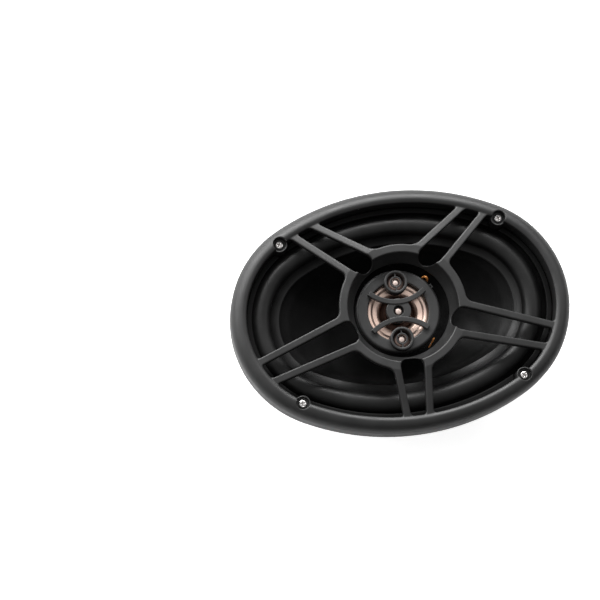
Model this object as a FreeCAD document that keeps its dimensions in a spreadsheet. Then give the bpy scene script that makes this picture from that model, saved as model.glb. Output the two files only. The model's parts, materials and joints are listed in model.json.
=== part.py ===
"""Coaxial car speaker, 6 x 9 inch oval, four-way, with its screwed-on grille.

Millimetres. The origin is the centre of the basket flange's back face. +Z points out of the grille
towards the listener, +X is the long axis of the oval and +Y the short axis.

Every oval in the speaker is the same four-arc oval moved inwards by an inset: two end arcs centred on
the X axis and two side arcs centred on the Y axis, tangent to each other where they meet.
"""

import FreeCAD, Part
import math
import os
import re
import Sketcher

SIZES = {
    # master oval: centres of its end and side arcs, and the radius of its end arcs
    "endCentre": 44.6,
    "sideCentre": 84.9,
    "endRadius": 77.0,
    # grille rim
    "rimSkirt": -2.5,
    "rimTop": 18.5,
    "rimBand": 11.0,
    "rimRound": 8.0,
    "rimWall": 2.5,
    "rimCavityTop": 12.5,
    "rimInnerWall": 2.4,
    "rimChamfer": 1.2,
    # screws through the rim
    "screwSpacingX": 158.75,
    "screwSpacingY": 115.4,
    "screwShank": 1.9,
    "screwNeck": 2.05,
    "screwPoint": 4.0,
    "screwShoulder": -0.4,
    "screwHead": 3.1,
    "screwHeadTall": 2.4,
    "screwHeadEdge": 0.8,
    "screwHeadRound": 4.2,
    "screwCrown": 1.2,
    "crossWidth": 0.8,
    "crossLength": 3.4,
    "crossDeep": 1.3,
    "screwSeat": 11.6,
    "screwTip": -16.0,
    "screwClearance": 0.3,
    "bossRadius": 5.7,
    "bossTop": 14.6,
    "recessRadius": 4.6,
    # grille hub
    "hubTop": 25.0,
    "hubInner": 39.4,
    "hubOuter": 45.4,
    "hubDepth": 5.0,
    "hubEase": 0.8,
    "collarBottom": 12.0,
    "collarInner": 33.8,
    "collarWall": 1.8,
    "collarCurve": 22.0,
    "collarUnderCurve": 20.0,
    "notchWidth": 12.0,
    "notchReach": 35.4,
    # grille spokes: rim end and hub end of the five on the +X side
    "spokeWidth": 5.2,
    "spokeDepth": 5.0,
    "spokeRimTop": 17.2,
    "spokeRimInset": 9.0,
    "spokeRimOverrun": 8.0,
    "spokeHubOverrun": 3.0,
    "upperInnerRimX": 50.9,
    "upperInnerRimY": 66.0,
    "upperInnerHubX": 17.6,
    "upperInnerHubY": 41.8,
    "upperOuterRimX": 67.0,
    "upperOuterRimY": 60.0,
    "upperOuterHubX": 35.1,
    "upperOuterHubY": 29.9,
    "sideUpperRimX": 104.4,
    "sideUpperRimY": -25.0,
    "sideUpperHubX": 44.1,
    "sideUpperHubY": -3.4,
    "sideLowerRimX": 95.8,
    "sideLowerRimY": -39.6,
    "sideLowerHubX": 38.3,
    "sideLowerHubY": -24.1,
    "lowerRimX": 8.15,
    "lowerRimY": -76.0,
    "lowerHubX": 11.6,
    "lowerHubY": -42.4,
    # basket
    "sheet": 1.2,
    "flangeInset": 4.5,
    "bowlInset": 17.7,
    "landingZ": -33.0,
    "landingRadius": 50.0,
    "cupRadius": 44.5,
    "cupFloor": -45.0,
    "coilOpening": 22.0,
    "windowInset": 24.0,
    "windowInner": 55.0,
    "endWindowAngle": 38.0,
    "sideWindowAngle": 14.0,
    "windowInnerAngle": 30.0,
    "slotInset": 13.9,
    "slotLength": 5.4,
    "slotWidth": 2.7,
    "bracketHalf": 13.0,
    "bracketFace": 60.0,
    "bracketLow": -47.0,
    "rivetCircle": 33.0,
    "rivetShank": 2.0,
    "rivetHead": 3.4,
    "rivetHeadTall": 1.3,
    "rivetRecess": 0.4,
    # gaskets
    "foamTall": 3.0,
    "foamOuter": 5.5,
    "foamInner": 15.5,
    "foamHole": 3.4,
    "gasketOuter": 11.5,
    "gasketInner": 15.6,
    "gasketTop": 5.2,
    "gasketNotch": 3.9,
    # surround and woofer cone
    "rubber": 0.8,
    "rollOuter": 16.8,
    "rollInner": 31.1,
    "rollTall": 7.1,
    "attachInner": 37.1,
    "coneWall": 0.9,
    "coneEdge": 31.6,
    "neckZ": -30.5,
    # woofer voice coil and spider
    "formerInner": 19.0,
    "formerWall": 0.4,
    "formerLow": -56.0,
    "formerTop": -28.6,
    "windingWall": 0.9,
    "windingLow": -55.5,
    "windingTop": -43.5,
    "slip": 0.1,
    "spiderWave": 2.2,
    "spiderWall": 0.6,
    "spiderInnerFlat": 3.0,
    "spiderOuterFlat": 5.0,
    "spiderGap": 0.4,
    # woofer motor
    "frontPlateOuter": 43.0,
    "frontPlateInner": 20.9,
    "frontPlateLow": -52.0,
    "magnetOuter": 45.0,
    "magnetInner": 24.0,
    "magnetLow": -70.0,
    "yokeLow": -75.0,
    "poleRadius": 18.3,
    "bootWall": 1.5,
    "bootRound": 2.0,
    "bootTop": -53.0,
    "bootOpening": 34.0,
    # post and nut
    "postRadius": 4.5,
    "postBore": 2.0,
    "postTop": -14.0,
    "postFlange": 9.0,
    "postFlangeTall": 2.0,
    "postInset": 0.6,
    "nutAcross": 13.0,
    "nutTall": 3.6,
    "nutInset": 1.0,
    "counterbore": 9.0,
    # tweeter pod
    "podShift": -1.9,
    "podTurn": -2.5,
    "podRadius": 28.3,
    "podWall": 1.5,
    "podFloor": -14.0,
    "podFoot": 16.0,
    "podKnee": -2.0,
    "podRim": 7.5,
    "podLedge": 2.0,
    "podEase": 0.6,
    "lugAngle": 25.0,
    "lugReach": 32.6,
    "lugHalf": 1.6,
    "lugLow": 3.0,
    "lugHigh": 3.6,
    "bezelOuter": 30.0,
    "bezelTop": 10.3,
    "bezelOpening": 21.8,
    "bezelSkirt": 3.6,
    "bezelLeg": 2.4,
    "bezelLap": 0.2,
    "bezelRound": 2.0,
    "bezelEase": 0.5,
    "midSeat": 2.6,
    "barWidth": 3.2,
    "barTop": 13.3,
    "barLow": 9.3,
    "barRadius": 29.5,
    "barMid": 6.4,
    "barEndX": 19.8,
    "drumRadius": 8.75,
    "drumTop": 12.4,
    "drumLow": 6.6,
    "drumFloor": 8.0,
    "drumBore": 3.65,
    "cupOffset": 20.6,
    "cupOuter": 8.5,
    "cupBore": 6.0,
    "cupTop": 14.5,
    "cupLow": 7.5,
    "cellFloor": 8.6,
    "phaseOuter": 4.15,
    "phaseInner": 3.0,
    "phaseTop": 13.4,
    "phaseLow": 12.4,
    "phaseTab": 1.3,
    "phaseLap": 0.5,
    "phaseStep": 0.2,
    # midrange driver
    "midTop": 4.0,
    "midFlange": 26.6,
    "midRollOuter": 21.6,
    "midRollInner": 19.2,
    "midNeck": 7.6,
    "midNeckZ": -2.6,
    "midFormer": 7.0,
    "midYokeOuter": 10.0,
    "midYokeLow": -10.4,
    "midYokeTop": -4.4,
    "midMagnet": 6.1,
    "midPlate": 6.5,
    "midPlateTall": 1.4,
    "midYokeFloor": -8.8,
    "midYokeBore": 8.1,
    "midCoilWall": 0.5,
    "midCoilLow": -7.0,
    "midCapRise": 2.0,
    "midCapEdge": 0.4,
    "midCapWidth": 6.9,
    "midFilm": 0.4,
    "midConeCurve": 60.0,
    "midGlue": 1.2,
    "midSheet": 0.6,
    "midNose": 11.6,
    "midTail": 12.4,
    "midNoseTop": -4.8,
    "midNoseLow": -6.0,
    "midRubber": 0.3,
    "midRollEase": 1.02,
    # tweeter domes
    "superDome": 2.75,
    "superDomeBase": 10.5,
    "superDomeTall": 2.0,
    "centreDome": 2.6,
    "centreDomeBase": 9.6,
    "centreDomeTall": 1.8,
    "tweeterCoil": 0.35,
    "tweeterCoilTall": 1.2,
    "tweeterGap": 0.15,
    "tweeterMagnetDrop": 0.5,
    "reflectorGap": 0.25,
    "reflectorDrop": 1.0,
    "reflectorRise": 0.5,
    "reflectorInner": 0.4,
    "reflectorOuter": 0.6,
    # terminals, leads and crossover parts
    "boardWall": 2.4,
    "boardHalf": 15.0,
    "boardTop": -31.0,
    "boardLow": -48.0,
    "tabWall": 0.8,
    "tabReach": 10.0,
    "wideTab": 4.8,
    "narrowTab": 2.8,
    "tabX": 8.0,
    "tabRivet": 1.2,
    "tabRivetTall": 0.7,
    "tabFoot": -46.0,
    "tabHead": -28.0,
    "capacitorReach": 52.6,
    "largeCapacitor": 5.0,
    "smallCapacitor": 3.6,
    "capacitorTop": -36.0,
    "capacitorTall": 17.0,
    "leadRadius": 0.6,
    "wireRadius": 0.8,
    "wireReach": 31.8,
    "wireZ": 6.6,
}

Vector = FreeCAD.Vector
UP = Vector(0, 0, 1)
ORIGIN = Vector(0, 0, 0)

doc = FreeCAD.newDocument("CoaxialSpeaker")
sheet = doc.addObject("Spreadsheet::Sheet", "Sizes")
for row, (alias, number) in enumerate(SIZES.items(), start=1):
    sheet.set(f"A{row}", str(number))
    sheet.setAlias(f"A{row}", alias)
doc.recompute()

sub_parts = {}


# ---- expressions ----

def bound(text):
    """The expression with each size's name pointing at its cell in the sheet."""
    return re.sub(r"[A-Za-z]\w*", lambda word: "Sizes." + word[0] if word[0] in SIZES else word[0], str(text))


def value(text):
    """The number an expression gives now, for the first geometry of a sketch."""
    return float(sheet.evalExpression(bound(text)))


def bind(obj, prop, text):
    obj.setExpression(prop, bound(text))


SIDE_TO_END = "hypot(endCentre; sideCentre)"


def end_radius(inset):
    return f"(endRadius - ({inset}))"


def side_radius(inset):
    return f"({SIDE_TO_END} + endRadius - ({inset}))"


# ---- sketches ----

def plane(body, role):
    return [feature for feature in body.Origin.OriginFeatures if feature.Role == role][0]


def flat_sketch(body, name, height):
    """A sketch on the body's XY plane, lifted to a height."""
    sketch = body.newObject("Sketcher::SketchObject", name)
    sketch.AttachmentSupport = [(plane(body, "XY_Plane"), "")]
    sketch.MapMode = "FlatFace"
    bind(sketch, "AttachmentOffset.Base.z", height)
    return sketch


def pin(sketch, edge, end, across, up):
    """Holds one end of an edge at a place given by two expressions."""
    for kind, text in (("DistanceX", across), ("DistanceY", up)):
        index = sketch.addConstraint(Sketcher.Constraint(kind, -1, 1, edge, end, value(text)))
        bind(sketch, f"Constraints[{index}]", text)


def size_radius(sketch, edge, text):
    index = sketch.addConstraint(Sketcher.Constraint("Radius", edge, value(text)))
    bind(sketch, f"Constraints[{index}]", text)


def draw_circle(sketch, radius, across="0", up="0"):
    centre = Vector(value(across), value(up), 0)
    edge = sketch.addGeometry(Part.Circle(centre, UP, value(radius)))
    pin(sketch, edge, 3, across, up)
    size_radius(sketch, edge, radius)


def draw_outline(sketch, corners, arcs=None):
    """A closed outline through the corners. arcs gives a radius for the edge that leaves a corner:
    positive bulges to the right of the way of travel, negative to the left."""
    arcs = arcs or {}
    spots = [Vector(value(across), value(up), 0) for across, up in corners]
    count = len(spots)
    ends = []
    for index, start in enumerate(spots):
        stop = spots[(index + 1) % count]
        if index not in arcs:
            edge = sketch.addGeometry(Part.LineSegment(start, stop))
            ends.append((edge, 1, 2))
            continue
        radius = value(arcs[index])
        chord = stop - start
        half = chord.Length / 2
        inward = Vector(-chord.y, chord.x, 0).normalize() * math.copysign(1, radius)
        centre = start + chord / 2 + inward * math.sqrt(max(radius ** 2 - half ** 2, 0))
        angles = [math.atan2(spot.y - centre.y, spot.x - centre.x) for spot in (start, stop)]
        if radius < 0:
            angles.reverse()
        circle = Part.Circle(centre, UP, abs(radius))
        edge = sketch.addGeometry(Part.ArcOfCircle(circle, angles[0], angles[1]))
        ends.append((edge, 1, 2) if radius > 0 else (edge, 2, 1))
    for index, (edge, start, stop) in enumerate(ends):
        after, after_start, _ = ends[(index + 1) % count]
        sketch.addConstraint(Sketcher.Constraint("Coincident", edge, stop, after, after_start))
        pin(sketch, edge, start, *corners[index])
        if index in arcs:
            size_radius(sketch, edge, f"abs({arcs[index]})")


def draw_oval(sketch, inset):
    """The master oval moved inwards."""
    along = f"endCentre * (1 + {end_radius(inset)} / {SIDE_TO_END})"
    up = f"sideCentre * {end_radius(inset)} / {SIDE_TO_END}"
    corners = [(along, f"-({up})"), (along, up), (f"-({along})", up), (f"-({along})", f"-({up})")]
    end, side = end_radius(inset), side_radius(inset)
    draw_outline(sketch, corners, {0: end, 1: side, 2: end, 3: side})


def draw_quartered_circle(sketch, radius):
    """A circle cut at the same four directions as the ovals, so that a loft between them runs straight."""
    along = f"({radius}) * endCentre / {SIDE_TO_END}"
    up = f"({radius}) * sideCentre / {SIDE_TO_END}"
    corners = [(along, f"-({up})"), (along, up), (f"-({along})", up), (f"-({along})", f"-({up})")]
    draw_outline(sketch, corners, {index: radius for index in range(4)})


# ---- features ----

def new_body(label):
    body = doc.addObject("PartDesign::Body", label)
    body.Label = label
    sub_parts[label] = body
    return body


def pad(body, draw, low, high):
    sketch = flat_sketch(body, "Outline", low)
    draw(sketch)
    feature = body.newObject("PartDesign::Pad", "Pad")
    feature.Profile = sketch
    bind(feature, "Length", f"({high}) - ({low})")
    doc.recompute()
    return feature


def pocket(body, draw, low, high):
    """Cuts downwards from the high plane to the low one, and makes sure that it removed something."""
    before = body.Shape.Volume
    sketch = flat_sketch(body, "Cut", high)
    draw(sketch)
    feature = body.newObject("PartDesign::Pocket", "Pocket")
    feature.Profile = sketch
    bind(feature, "Length", f"({high}) - ({low})")
    doc.recompute()
    if not body.Shape.Volume < before:
        raise RuntimeError(f"{body.Label}: a pocket removed nothing")
    return feature


def turn(body, corners, arcs=None, kind="PartDesign::Revolution"):
    """A profile of (radius, height) corners turned about the Z axis."""
    sketch = body.newObject("Sketcher::SketchObject", "Profile")
    sketch.AttachmentSupport = [(plane(body, "XZ_Plane"), "")]
    sketch.MapMode = "FlatFace"
    draw_outline(sketch, corners, arcs)
    feature = body.newObject(kind, "Turned")
    feature.Profile = sketch
    feature.ReferenceAxis = (sketch, ["V_Axis"])
    feature.Angle = 360
    doc.recompute()
    return feature


def turned_body(label, corners, arcs=None):
    body = new_body(label)
    turn(body, corners, arcs)
    return body


def loft(body, kind, draw_low, low, draw_high, high):
    lower = flat_sketch(body, "LoftLow", low)
    draw_low(lower)
    upper = flat_sketch(body, "LoftHigh", high)
    draw_high(upper)
    feature = body.newObject(f"PartDesign::{kind}", "Loft")
    feature.Profile = lower
    feature.Sections = [upper]
    feature.Ruled = True
    doc.recompute()
    return feature


def level_edges(shape, height, inset_low, inset_high):
    """Names of the level edges at a height whose middle lies between two insets."""
    names = []
    for index, edge in enumerate(shape.Edges, start=1):
        box = edge.BoundBox
        level = abs(box.ZMin - height) < 1e-3 and abs(box.ZMax - height) < 1e-3
        middle = edge.valueAt((edge.FirstParameter + edge.LastParameter) / 2)
        inset = oval_inset(middle.x, middle.y)
        if level and inset_low < inset < inset_high:
            names.append(f"Edge{index}")
    return names


def oval_inset(x, y):
    """How far a point lies inside the master oval, measured square to the oval."""
    end_centre, side_centre = value("endCentre"), value("sideCentre")
    if abs(x) * side_centre > (abs(y) + side_centre) * end_centre:
        return value(end_radius("0")) - math.hypot(abs(x) - end_centre, y)
    return value(side_radius("0")) - math.hypot(x, abs(y) + side_centre)


def round_edges(body, names, radius, kind="PartDesign::Fillet", prop="Radius"):
    base = body.Tip
    feature = body.newObject(kind, "Rounded")
    feature.Base = (base, names)
    bind(feature, prop, radius)
    doc.recompute()
    return feature


def screw_places():
    return [(f"{sx} * screwSpacingX / 2", f"{sy} * screwSpacingY / 2") for sx in (1, -1) for sy in (1, -1)]


def draw_circles(places, radius):
    def draw(sketch):
        for across, up in places:
            draw_circle(sketch, radius, across, up)
    return draw


def draw_ring(outer, inner):
    def draw(sketch):
        draw_oval(sketch, outer)
        draw_oval(sketch, inner)
    return draw


def draw_rectangle(left, low, right, high):
    def draw(sketch):
        draw_outline(sketch, [(left, low), (right, low), (right, high), (left, high)])
    return draw


# ---- grille ----

def slot_places():
    """Beside each screw, further in on the same normal of the oval's side arc."""
    rise = "(screwSpacingY / 2 + sideCentre)"
    run = "(screwSpacingX / 2)"
    scale = f"({side_radius('slotInset')} / hypot({run}; {rise}))"
    across, up = f"{run} * {scale}", f"({rise} * {scale} - sideCentre)"
    return [(f"{sx} * {across}", f"{sy} * {up}") for sx in (1, -1) for sy in (1, -1)]


def make_grille_rim():
    body = doc.addObject("PartDesign::Body", "GrilleRim")
    pad(body, draw_ring("0", "rimBand"), "rimSkirt", "rimTop")
    top = value("rimTop")
    round_edges(body, level_edges(body.Shape, top, -1, 1), "rimRound")
    edges = level_edges(body.Shape, top, value("rimBand") - 1, value("rimBand") + 1)
    round_edges(body, edges, "rimChamfer", "PartDesign::Chamfer", "Size")
    pocket(body, draw_ring("rimWall", "rimBand - rimInnerWall"), "rimSkirt - 1", "rimCavityTop")
    pocket(body, draw_ring("rimWall", "rimBand + 1"), "rimSkirt - 1", "sheet")
    pad(body, draw_circles(screw_places(), "bossRadius"), "sheet", "bossTop")
    pocket(body, draw_circles(screw_places(), "recessRadius"), "screwSeat", "rimTop + 1")
    pocket(body, draw_circles(screw_places(), "screwShank + screwClearance"), "sheet - 1", "rimTop + 1")
    return body


def make_grille_hub():
    """The hub ring and the collar that flares down from it towards the pod, notched between each pair
    of spokes."""
    body = doc.addObject("PartDesign::Body", "GrilleHub")
    corners = [
        ("hubOuter - hubEase", "hubTop"),
        ("hubInner", "hubTop"),
        ("collarInner", "collarBottom"),
        ("collarInner + collarWall", "collarBottom"),
        ("hubInner + collarWall", "hubTop - hubDepth"),
        ("hubOuter", "hubTop - hubDepth"),
        ("hubOuter", "hubTop - hubEase"),
    ]
    turn(body, corners, {1: "-collarCurve", 3: "collarUnderCurve"})
    return body


def make_notches():
    """One upright U-shaped cutter on each of the five arms."""
    cutters = []
    for direction in (54, 126, -18, -162, -90):
        slot = doc.addObject("Part::Box", "NotchSlot")
        bind(slot, "Length", "hubOuter")
        bind(slot, "Width", "notchWidth")
        bind(slot, "Height", "hubTop")
        end = doc.addObject("Part::Cylinder", "NotchEnd")
        bind(end, "Radius", "notchWidth / 2")
        bind(end, "Height", "hubTop")
        for piece, side in ((slot, "- notchWidth / 2"), (end, "")):
            reach = "(notchReach + notchWidth / 2)"
            bind(piece, "Placement.Rotation.Angle", f"{direction} deg")
            sideways = f"({side or '0'})"
            bind(piece, "Placement.Base.x", f"cos({direction}) * {reach} - sin({direction}) * {sideways}")
            bind(piece, "Placement.Base.y", f"sin({direction}) * {reach} + cos({direction}) * {sideways}")
            bind(piece, "Placement.Base.z", "collarBottom + 1")
            cutters.append(piece)
    return cutters


SPOKES = ("upperInner", "upperOuter", "sideUpper", "sideLower", "lower")


def make_spokes():
    """A tall bar along each spoke, to be trimmed by the dish between rim and hub."""
    bars = []
    for name in SPOKES:
        run = f"({name}HubX - {name}RimX)"
        rise = f"({name}HubY - {name}RimY)"
        long_way = f"hypot({run}; {rise})"
        bar = doc.addObject("Part::Box", f"{name}Spoke")
        bind(bar, "Length", f"{long_way} + spokeRimOverrun + spokeHubOverrun")
        bind(bar, "Width", "spokeWidth")
        bind(bar, "Height", "hubTop + 1")
        bind(bar, "Placement.Rotation.Angle", f"atan2({rise}; {run})")
        start_x = f"{name}RimX - {run} / {long_way} * spokeRimOverrun"
        start_y = f"{name}RimY - {rise} / {long_way} * spokeRimOverrun"
        bind(bar, "Placement.Base.x", f"{start_x} + {rise} / {long_way} * spokeWidth / 2")
        bind(bar, "Placement.Base.y", f"{start_y} - {run} / {long_way} * spokeWidth / 2")
        bars.append(bar)
    right = doc.addObject("Part::MultiFuse", "RightSpokes")
    right.Shapes = bars
    left = doc.addObject("Part::Mirroring", "LeftSpokes")
    left.Source = right
    left.Normal = Vector(1, 0, 0)
    both = doc.addObject("Part::Fuse", "Spokes")
    both.Base, both.Tool = right, left
    return both


def make_dish(name, drop):
    """The space under the dished face that rises from the rim to the hub."""
    body = doc.addObject("PartDesign::Body", name)
    rim = f"spokeRimTop - {drop}"
    hub = f"hubTop - {drop}"
    loft(body, "AdditiveLoft", lambda s: draw_oval(s, "spokeRimInset"), rim,
         lambda s: draw_quartered_circle(s, "hubOuter"), hub)
    pad(body, lambda s: draw_oval(s, "spokeRimInset"), f"{rim} - hubTop", rim)
    return body


def boolean(kind, name, base, tool):
    feature = doc.addObject(f"Part::{kind}", name)
    feature.Base, feature.Tool = base, tool
    return feature


def make_grille():
    shell = boolean("Cut", "DishShell", make_dish("DishTop", "0"), make_dish("DishUnder", "spokeDepth"))
    web = boolean("Common", "Web", make_spokes(), shell)
    notches = doc.addObject("Part::MultiFuse", "Notches")
    notches.Shapes = make_notches()
    hub = boolean("Cut", "NotchedHub", make_grille_hub(), notches)
    recesses = doc.addObject("Part::MultiFuse", "Recesses")
    cutters = []
    for across, up in screw_places():
        cutter = doc.addObject("Part::Cylinder", "Recess")
        bind(cutter, "Radius", "recessRadius")
        bind(cutter, "Height", "hubTop")
        bind(cutter, "Placement.Base.x", across)
        bind(cutter, "Placement.Base.y", up)
        bind(cutter, "Placement.Base.z", "screwSeat")
        cutters.append(cutter)
    recesses.Shapes = cutters
    clear_web = boolean("Cut", "ClearWeb", web, recesses)
    whole = doc.addObject("Part::MultiFuse", "Grille")
    whole.Shapes = [make_grille_rim(), hub, clear_web]
    whole.Refine = True
    whole.Label = "grille"
    sub_parts["grille"] = whole


def make_grille_screws():
    """Four self-tapping screws through the rim and the flange, each with a cross recess. The threaded
    part below the flange is a little thinner than the neck."""
    pieces = []
    for place in screw_places():
        screw = doc.addObject("PartDesign::Body", "Screw")
        top = "screwSeat + screwHeadTall"
        corners = [
            ("0", "screwTip"),
            ("screwShank", "screwTip + screwPoint"),
            ("screwShank", "screwShoulder"),
            ("screwNeck", "screwShoulder"),
            ("screwNeck", "screwSeat"),
            ("screwHead", "screwSeat"),
            ("screwHead", "screwSeat + screwHeadEdge"),
            ("screwCrown", top),
            ("0", top),
        ]
        turn(screw, corners, {6: "screwHeadRound"})
        thin, long = "crossWidth / 2", "crossLength / 2"
        for across, up_way in ((thin, long), (long, thin)):
            cross = draw_rectangle(f"-{across}", f"-{up_way}", across, up_way)
            pocket(screw, cross, f"{top} - crossDeep", top)
        bind(screw, "Placement.Base.x", place[0])
        bind(screw, "Placement.Base.y", place[1])
        pieces.append(screw)
    group = doc.addObject("Part::Compound", "GrilleScrews")
    group.Links = pieces
    group.Label = "grille_screws"
    sub_parts["grille_screws"] = group


# ---- basket and gaskets ----

def draw_windows(sketch):
    """Two end windows and two side windows, each between the bowl's inset and a ring round the landing."""
    reach_end = "(endRadius - windowInset)"
    reach_side = side_radius("windowInset")
    for way in (1, -1):
        outer_x = f"{way} * (endCentre + {reach_end} * cos(endWindowAngle))"
        outer_y = f"{way} * {reach_end} * sin(endWindowAngle)"
        inner_x = f"{way} * windowInner * cos(windowInnerAngle)"
        inner_y = f"{way} * windowInner * sin(windowInnerAngle)"
        corners = [
            (outer_x, f"-({outer_y})"),
            (outer_x, outer_y),
            (inner_x, inner_y),
            (inner_x, f"-({inner_y})"),
        ]
        draw_outline(sketch, corners, {0: reach_end, 2: "-windowInner"})
        outer_x = f"{way} * {reach_side} * sin(sideWindowAngle)"
        outer_y = f"{way} * ({reach_side} * cos(sideWindowAngle) - sideCentre)"
        inner_x = f"{way} * windowInner * sin(windowInnerAngle)"
        inner_y = f"{way} * windowInner * cos(windowInnerAngle)"
        corners = [
            (outer_x, outer_y),
            (f"-({outer_x})", outer_y),
            (f"-({inner_x})", inner_y),
            (inner_x, inner_y),
        ]
        draw_outline(sketch, corners, {0: reach_side, 2: "-windowInner"})


def rivet_places():
    return [(f"rivetCircle * cos({angle})", f"rivetCircle * sin({angle})") for angle in (45, 135, 225, 315)]


def tilted_slot(across, up, angle):
    """An upright slot cutter through the flange, lying along the rim."""
    slot = doc.addObject("Part::Box", "FlangeSlot")
    bind(slot, "Length", "slotLength")
    bind(slot, "Width", "slotWidth")
    bind(slot, "Height", "3 * sheet")
    bind(slot, "Placement.Rotation.Angle", f"{angle} deg")
    bind(slot, "Placement.Base.x", f"{across} - cos({angle}) * slotLength / 2 + sin({angle}) * slotWidth / 2")
    bind(slot, "Placement.Base.y", f"{up} - sin({angle}) * slotLength / 2 - cos({angle}) * slotWidth / 2")
    bind(slot, "Placement.Base.z", "-sheet")
    return slot


def make_basket():
    """Pressed steel: an oval flange, a windowed bowl, the spider's landing and a cup over the motor."""
    body = doc.addObject("PartDesign::Body", "BasketShell")
    loft(body, "AdditiveLoft", lambda s: draw_quartered_circle(s, "landingRadius + sheet"),
         "landingZ - sheet", lambda s: draw_oval(s, "bowlInset - sheet"), "sheet")
    loft(body, "SubtractiveLoft", lambda s: draw_quartered_circle(s, "landingRadius"), "landingZ - sheet",
         lambda s: draw_oval(s, "bowlInset"), "sheet")
    pocket(body, draw_windows, "landingZ - 2 * sheet", "sheet")
    pad(body, draw_ring("flangeInset", "bowlInset - sheet / 2"), "0", "sheet")
    corners = [
        ("landingRadius + sheet / 2", "landingZ - sheet"),
        ("cupRadius + sheet", "landingZ - sheet"),
        ("cupRadius + sheet", "cupFloor - sheet"),
        ("coilOpening", "cupFloor - sheet"),
        ("coilOpening", "cupFloor"),
        ("cupRadius", "cupFloor"),
        ("cupRadius", "landingZ"),
        ("landingRadius + sheet / 2", "landingZ"),
    ]
    turn(body, corners)
    outer = "-bracketFace"
    pad(body, draw_rectangle("-bracketHalf", outer, "bracketHalf", "-(cupRadius + sheet / 4)"),
        "landingZ - 2 * sheet", "landingZ - sheet")
    pad(body, draw_rectangle("-bracketHalf", outer, "bracketHalf", f"{outer} + sheet"), "bracketLow",
        "landingZ - sheet")
    pocket(body, draw_circles(rivet_places(), "rivetShank + slip"), "cupFloor - 2 * sheet", "cupFloor + 1")
    pocket(body, draw_circles(screw_places(), "screwShank + screwClearance"), "-1", "sheet + 1")
    slots = doc.addObject("Part::MultiFuse", "FlangeSlots")
    lean = math.degrees(math.atan2(value("screwSpacingX / 2"), value("screwSpacingY / 2 + sideCentre")))
    places = slot_places()
    slots.Shapes = [tilted_slot(*place, round(angle, 1)) for place, angle in
                    zip(places, (-lean, lean, lean, -lean))]
    basket = boolean("Cut", "Basket", body, slots)
    basket.Label = "basket"
    sub_parts["basket"] = basket


def make_mounting_gasket():
    body = new_body("mounting_gasket")
    pad(body, draw_ring("foamOuter", "foamInner"), "-foamTall", "0")
    pocket(body, draw_circles(screw_places(), "foamHole"), "-foamTall - 1", "1")


def make_front_gasket():
    """The trim ring that holds the surround's edge down, cut away round the rim's bosses."""
    body = new_body("front_gasket")
    low = "sheet + rubber"
    pad(body, draw_ring("gasketOuter", "gasketInner"), low, "gasketTop")
    pocket(body, draw_circles(screw_places(), "bossRadius + screwClearance"), f"{low} - 1", "gasketTop + 1")
    pocket(body, draw_circles(slot_places(), "gasketNotch"), f"{low} - 1", "gasketTop + 1")


# ---- woofer ----

def make_roll(name, outer, inner, low, crest):
    """A solid ring with a half-round top."""
    body = doc.addObject("PartDesign::Body", name)
    pad(body, draw_ring(outer, inner), low, crest)
    edges = level_edges(body.Shape, value(crest), value(outer) - 1, value(inner) + 1)
    round_edges(body, edges, f"(({inner}) - ({outer})) / 2 - 0.1")
    return body


def make_surround():
    """Half-roll rubber ring between the flange and the cone's edge."""
    base = "sheet"
    crest = "sheet + rollTall"
    body = make_roll("SurroundRoll", "rollOuter", "rollInner", base, crest)
    pad(body, draw_ring("gasketOuter", "rollOuter + rubber"), base, "sheet + rubber")
    pad(body, draw_ring("rollInner - rubber", "attachInner"), base, "sheet + rubber")
    pocket(body, draw_circles(screw_places(), "bossRadius + screwClearance"), "0", "sheet + 1")
    pocket(body, draw_circles(slot_places(), "slotWidth"), "0", "sheet + 1")
    hollow = make_roll("SurroundHollow", "rollOuter + rubber", "rollInner - rubber", f"{base} - 1",
                       f"{crest} - rubber")
    surround = boolean("Cut", "Surround", body, hollow)
    surround.Label = "surround"
    sub_parts["surround"] = surround


def make_woofer_cone():
    """Pressed cone: an oval edge that runs down to a round neck on the voice-coil former."""
    body = new_body("woofer_cone")
    edge_low = "sheet - coneWall"
    neck = "formerInner + formerWall + slip"
    loft(body, "AdditiveLoft", lambda s: draw_quartered_circle(s, f"{neck} + coneWall"), "neckZ - coneWall",
         lambda s: draw_oval(s, "attachInner - coneWall / 3"), edge_low)
    loft(body, "SubtractiveLoft", lambda s: draw_quartered_circle(s, neck), "neckZ",
         lambda s: draw_oval(s, "attachInner + coneWall"), edge_low)
    pocket(body, lambda s: draw_circle(s, neck), "neckZ - 2 * coneWall", "neckZ")
    pad(body, draw_ring("coneEdge", "attachInner + coneWall"), edge_low, "sheet")


def tube(label, inner, outer, low, high):
    return turned_body(label, [(inner, low), (outer, low), (outer, high), (inner, high)])


def make_voice_coil():
    tube("voice_coil_former", "formerInner", "formerInner + formerWall", "formerLow", "formerTop")
    outer = "formerInner + formerWall + slip"
    tube("voice_coil_winding", outer, f"{outer} + windingWall", "windingLow", "windingTop")


def make_spider():
    """Corrugated cloth disc: waves between the former and a flat ring glued to the landing."""
    inner = "(formerInner + formerWall + slip)"
    outer = "(landingRadius - spiderGap)"
    base = "landingZ"
    waves = 9
    step = f"({outer} - spiderOuterFlat - {inner} - spiderInnerFlat) / {waves}"
    top = []
    for index in range(waves):
        crest = f"{index % 2} * spiderWave"
        top.append((f"{inner} + spiderInnerFlat + {index} * {step}", f"{base} + spiderWall + {crest}"))
    top += [(f"{outer} - spiderOuterFlat", f"{base} + spiderWall")]
    under = [(across, f"{up} - spiderWall") for across, up in reversed(top)]
    corners = [(inner, f"{base} + spiderWall")] + top + [(outer, f"{base} + spiderWall"), (outer, base)]
    turned_body("spider", corners + under + [(inner, base)])


# ---- woofer motor ----

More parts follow.
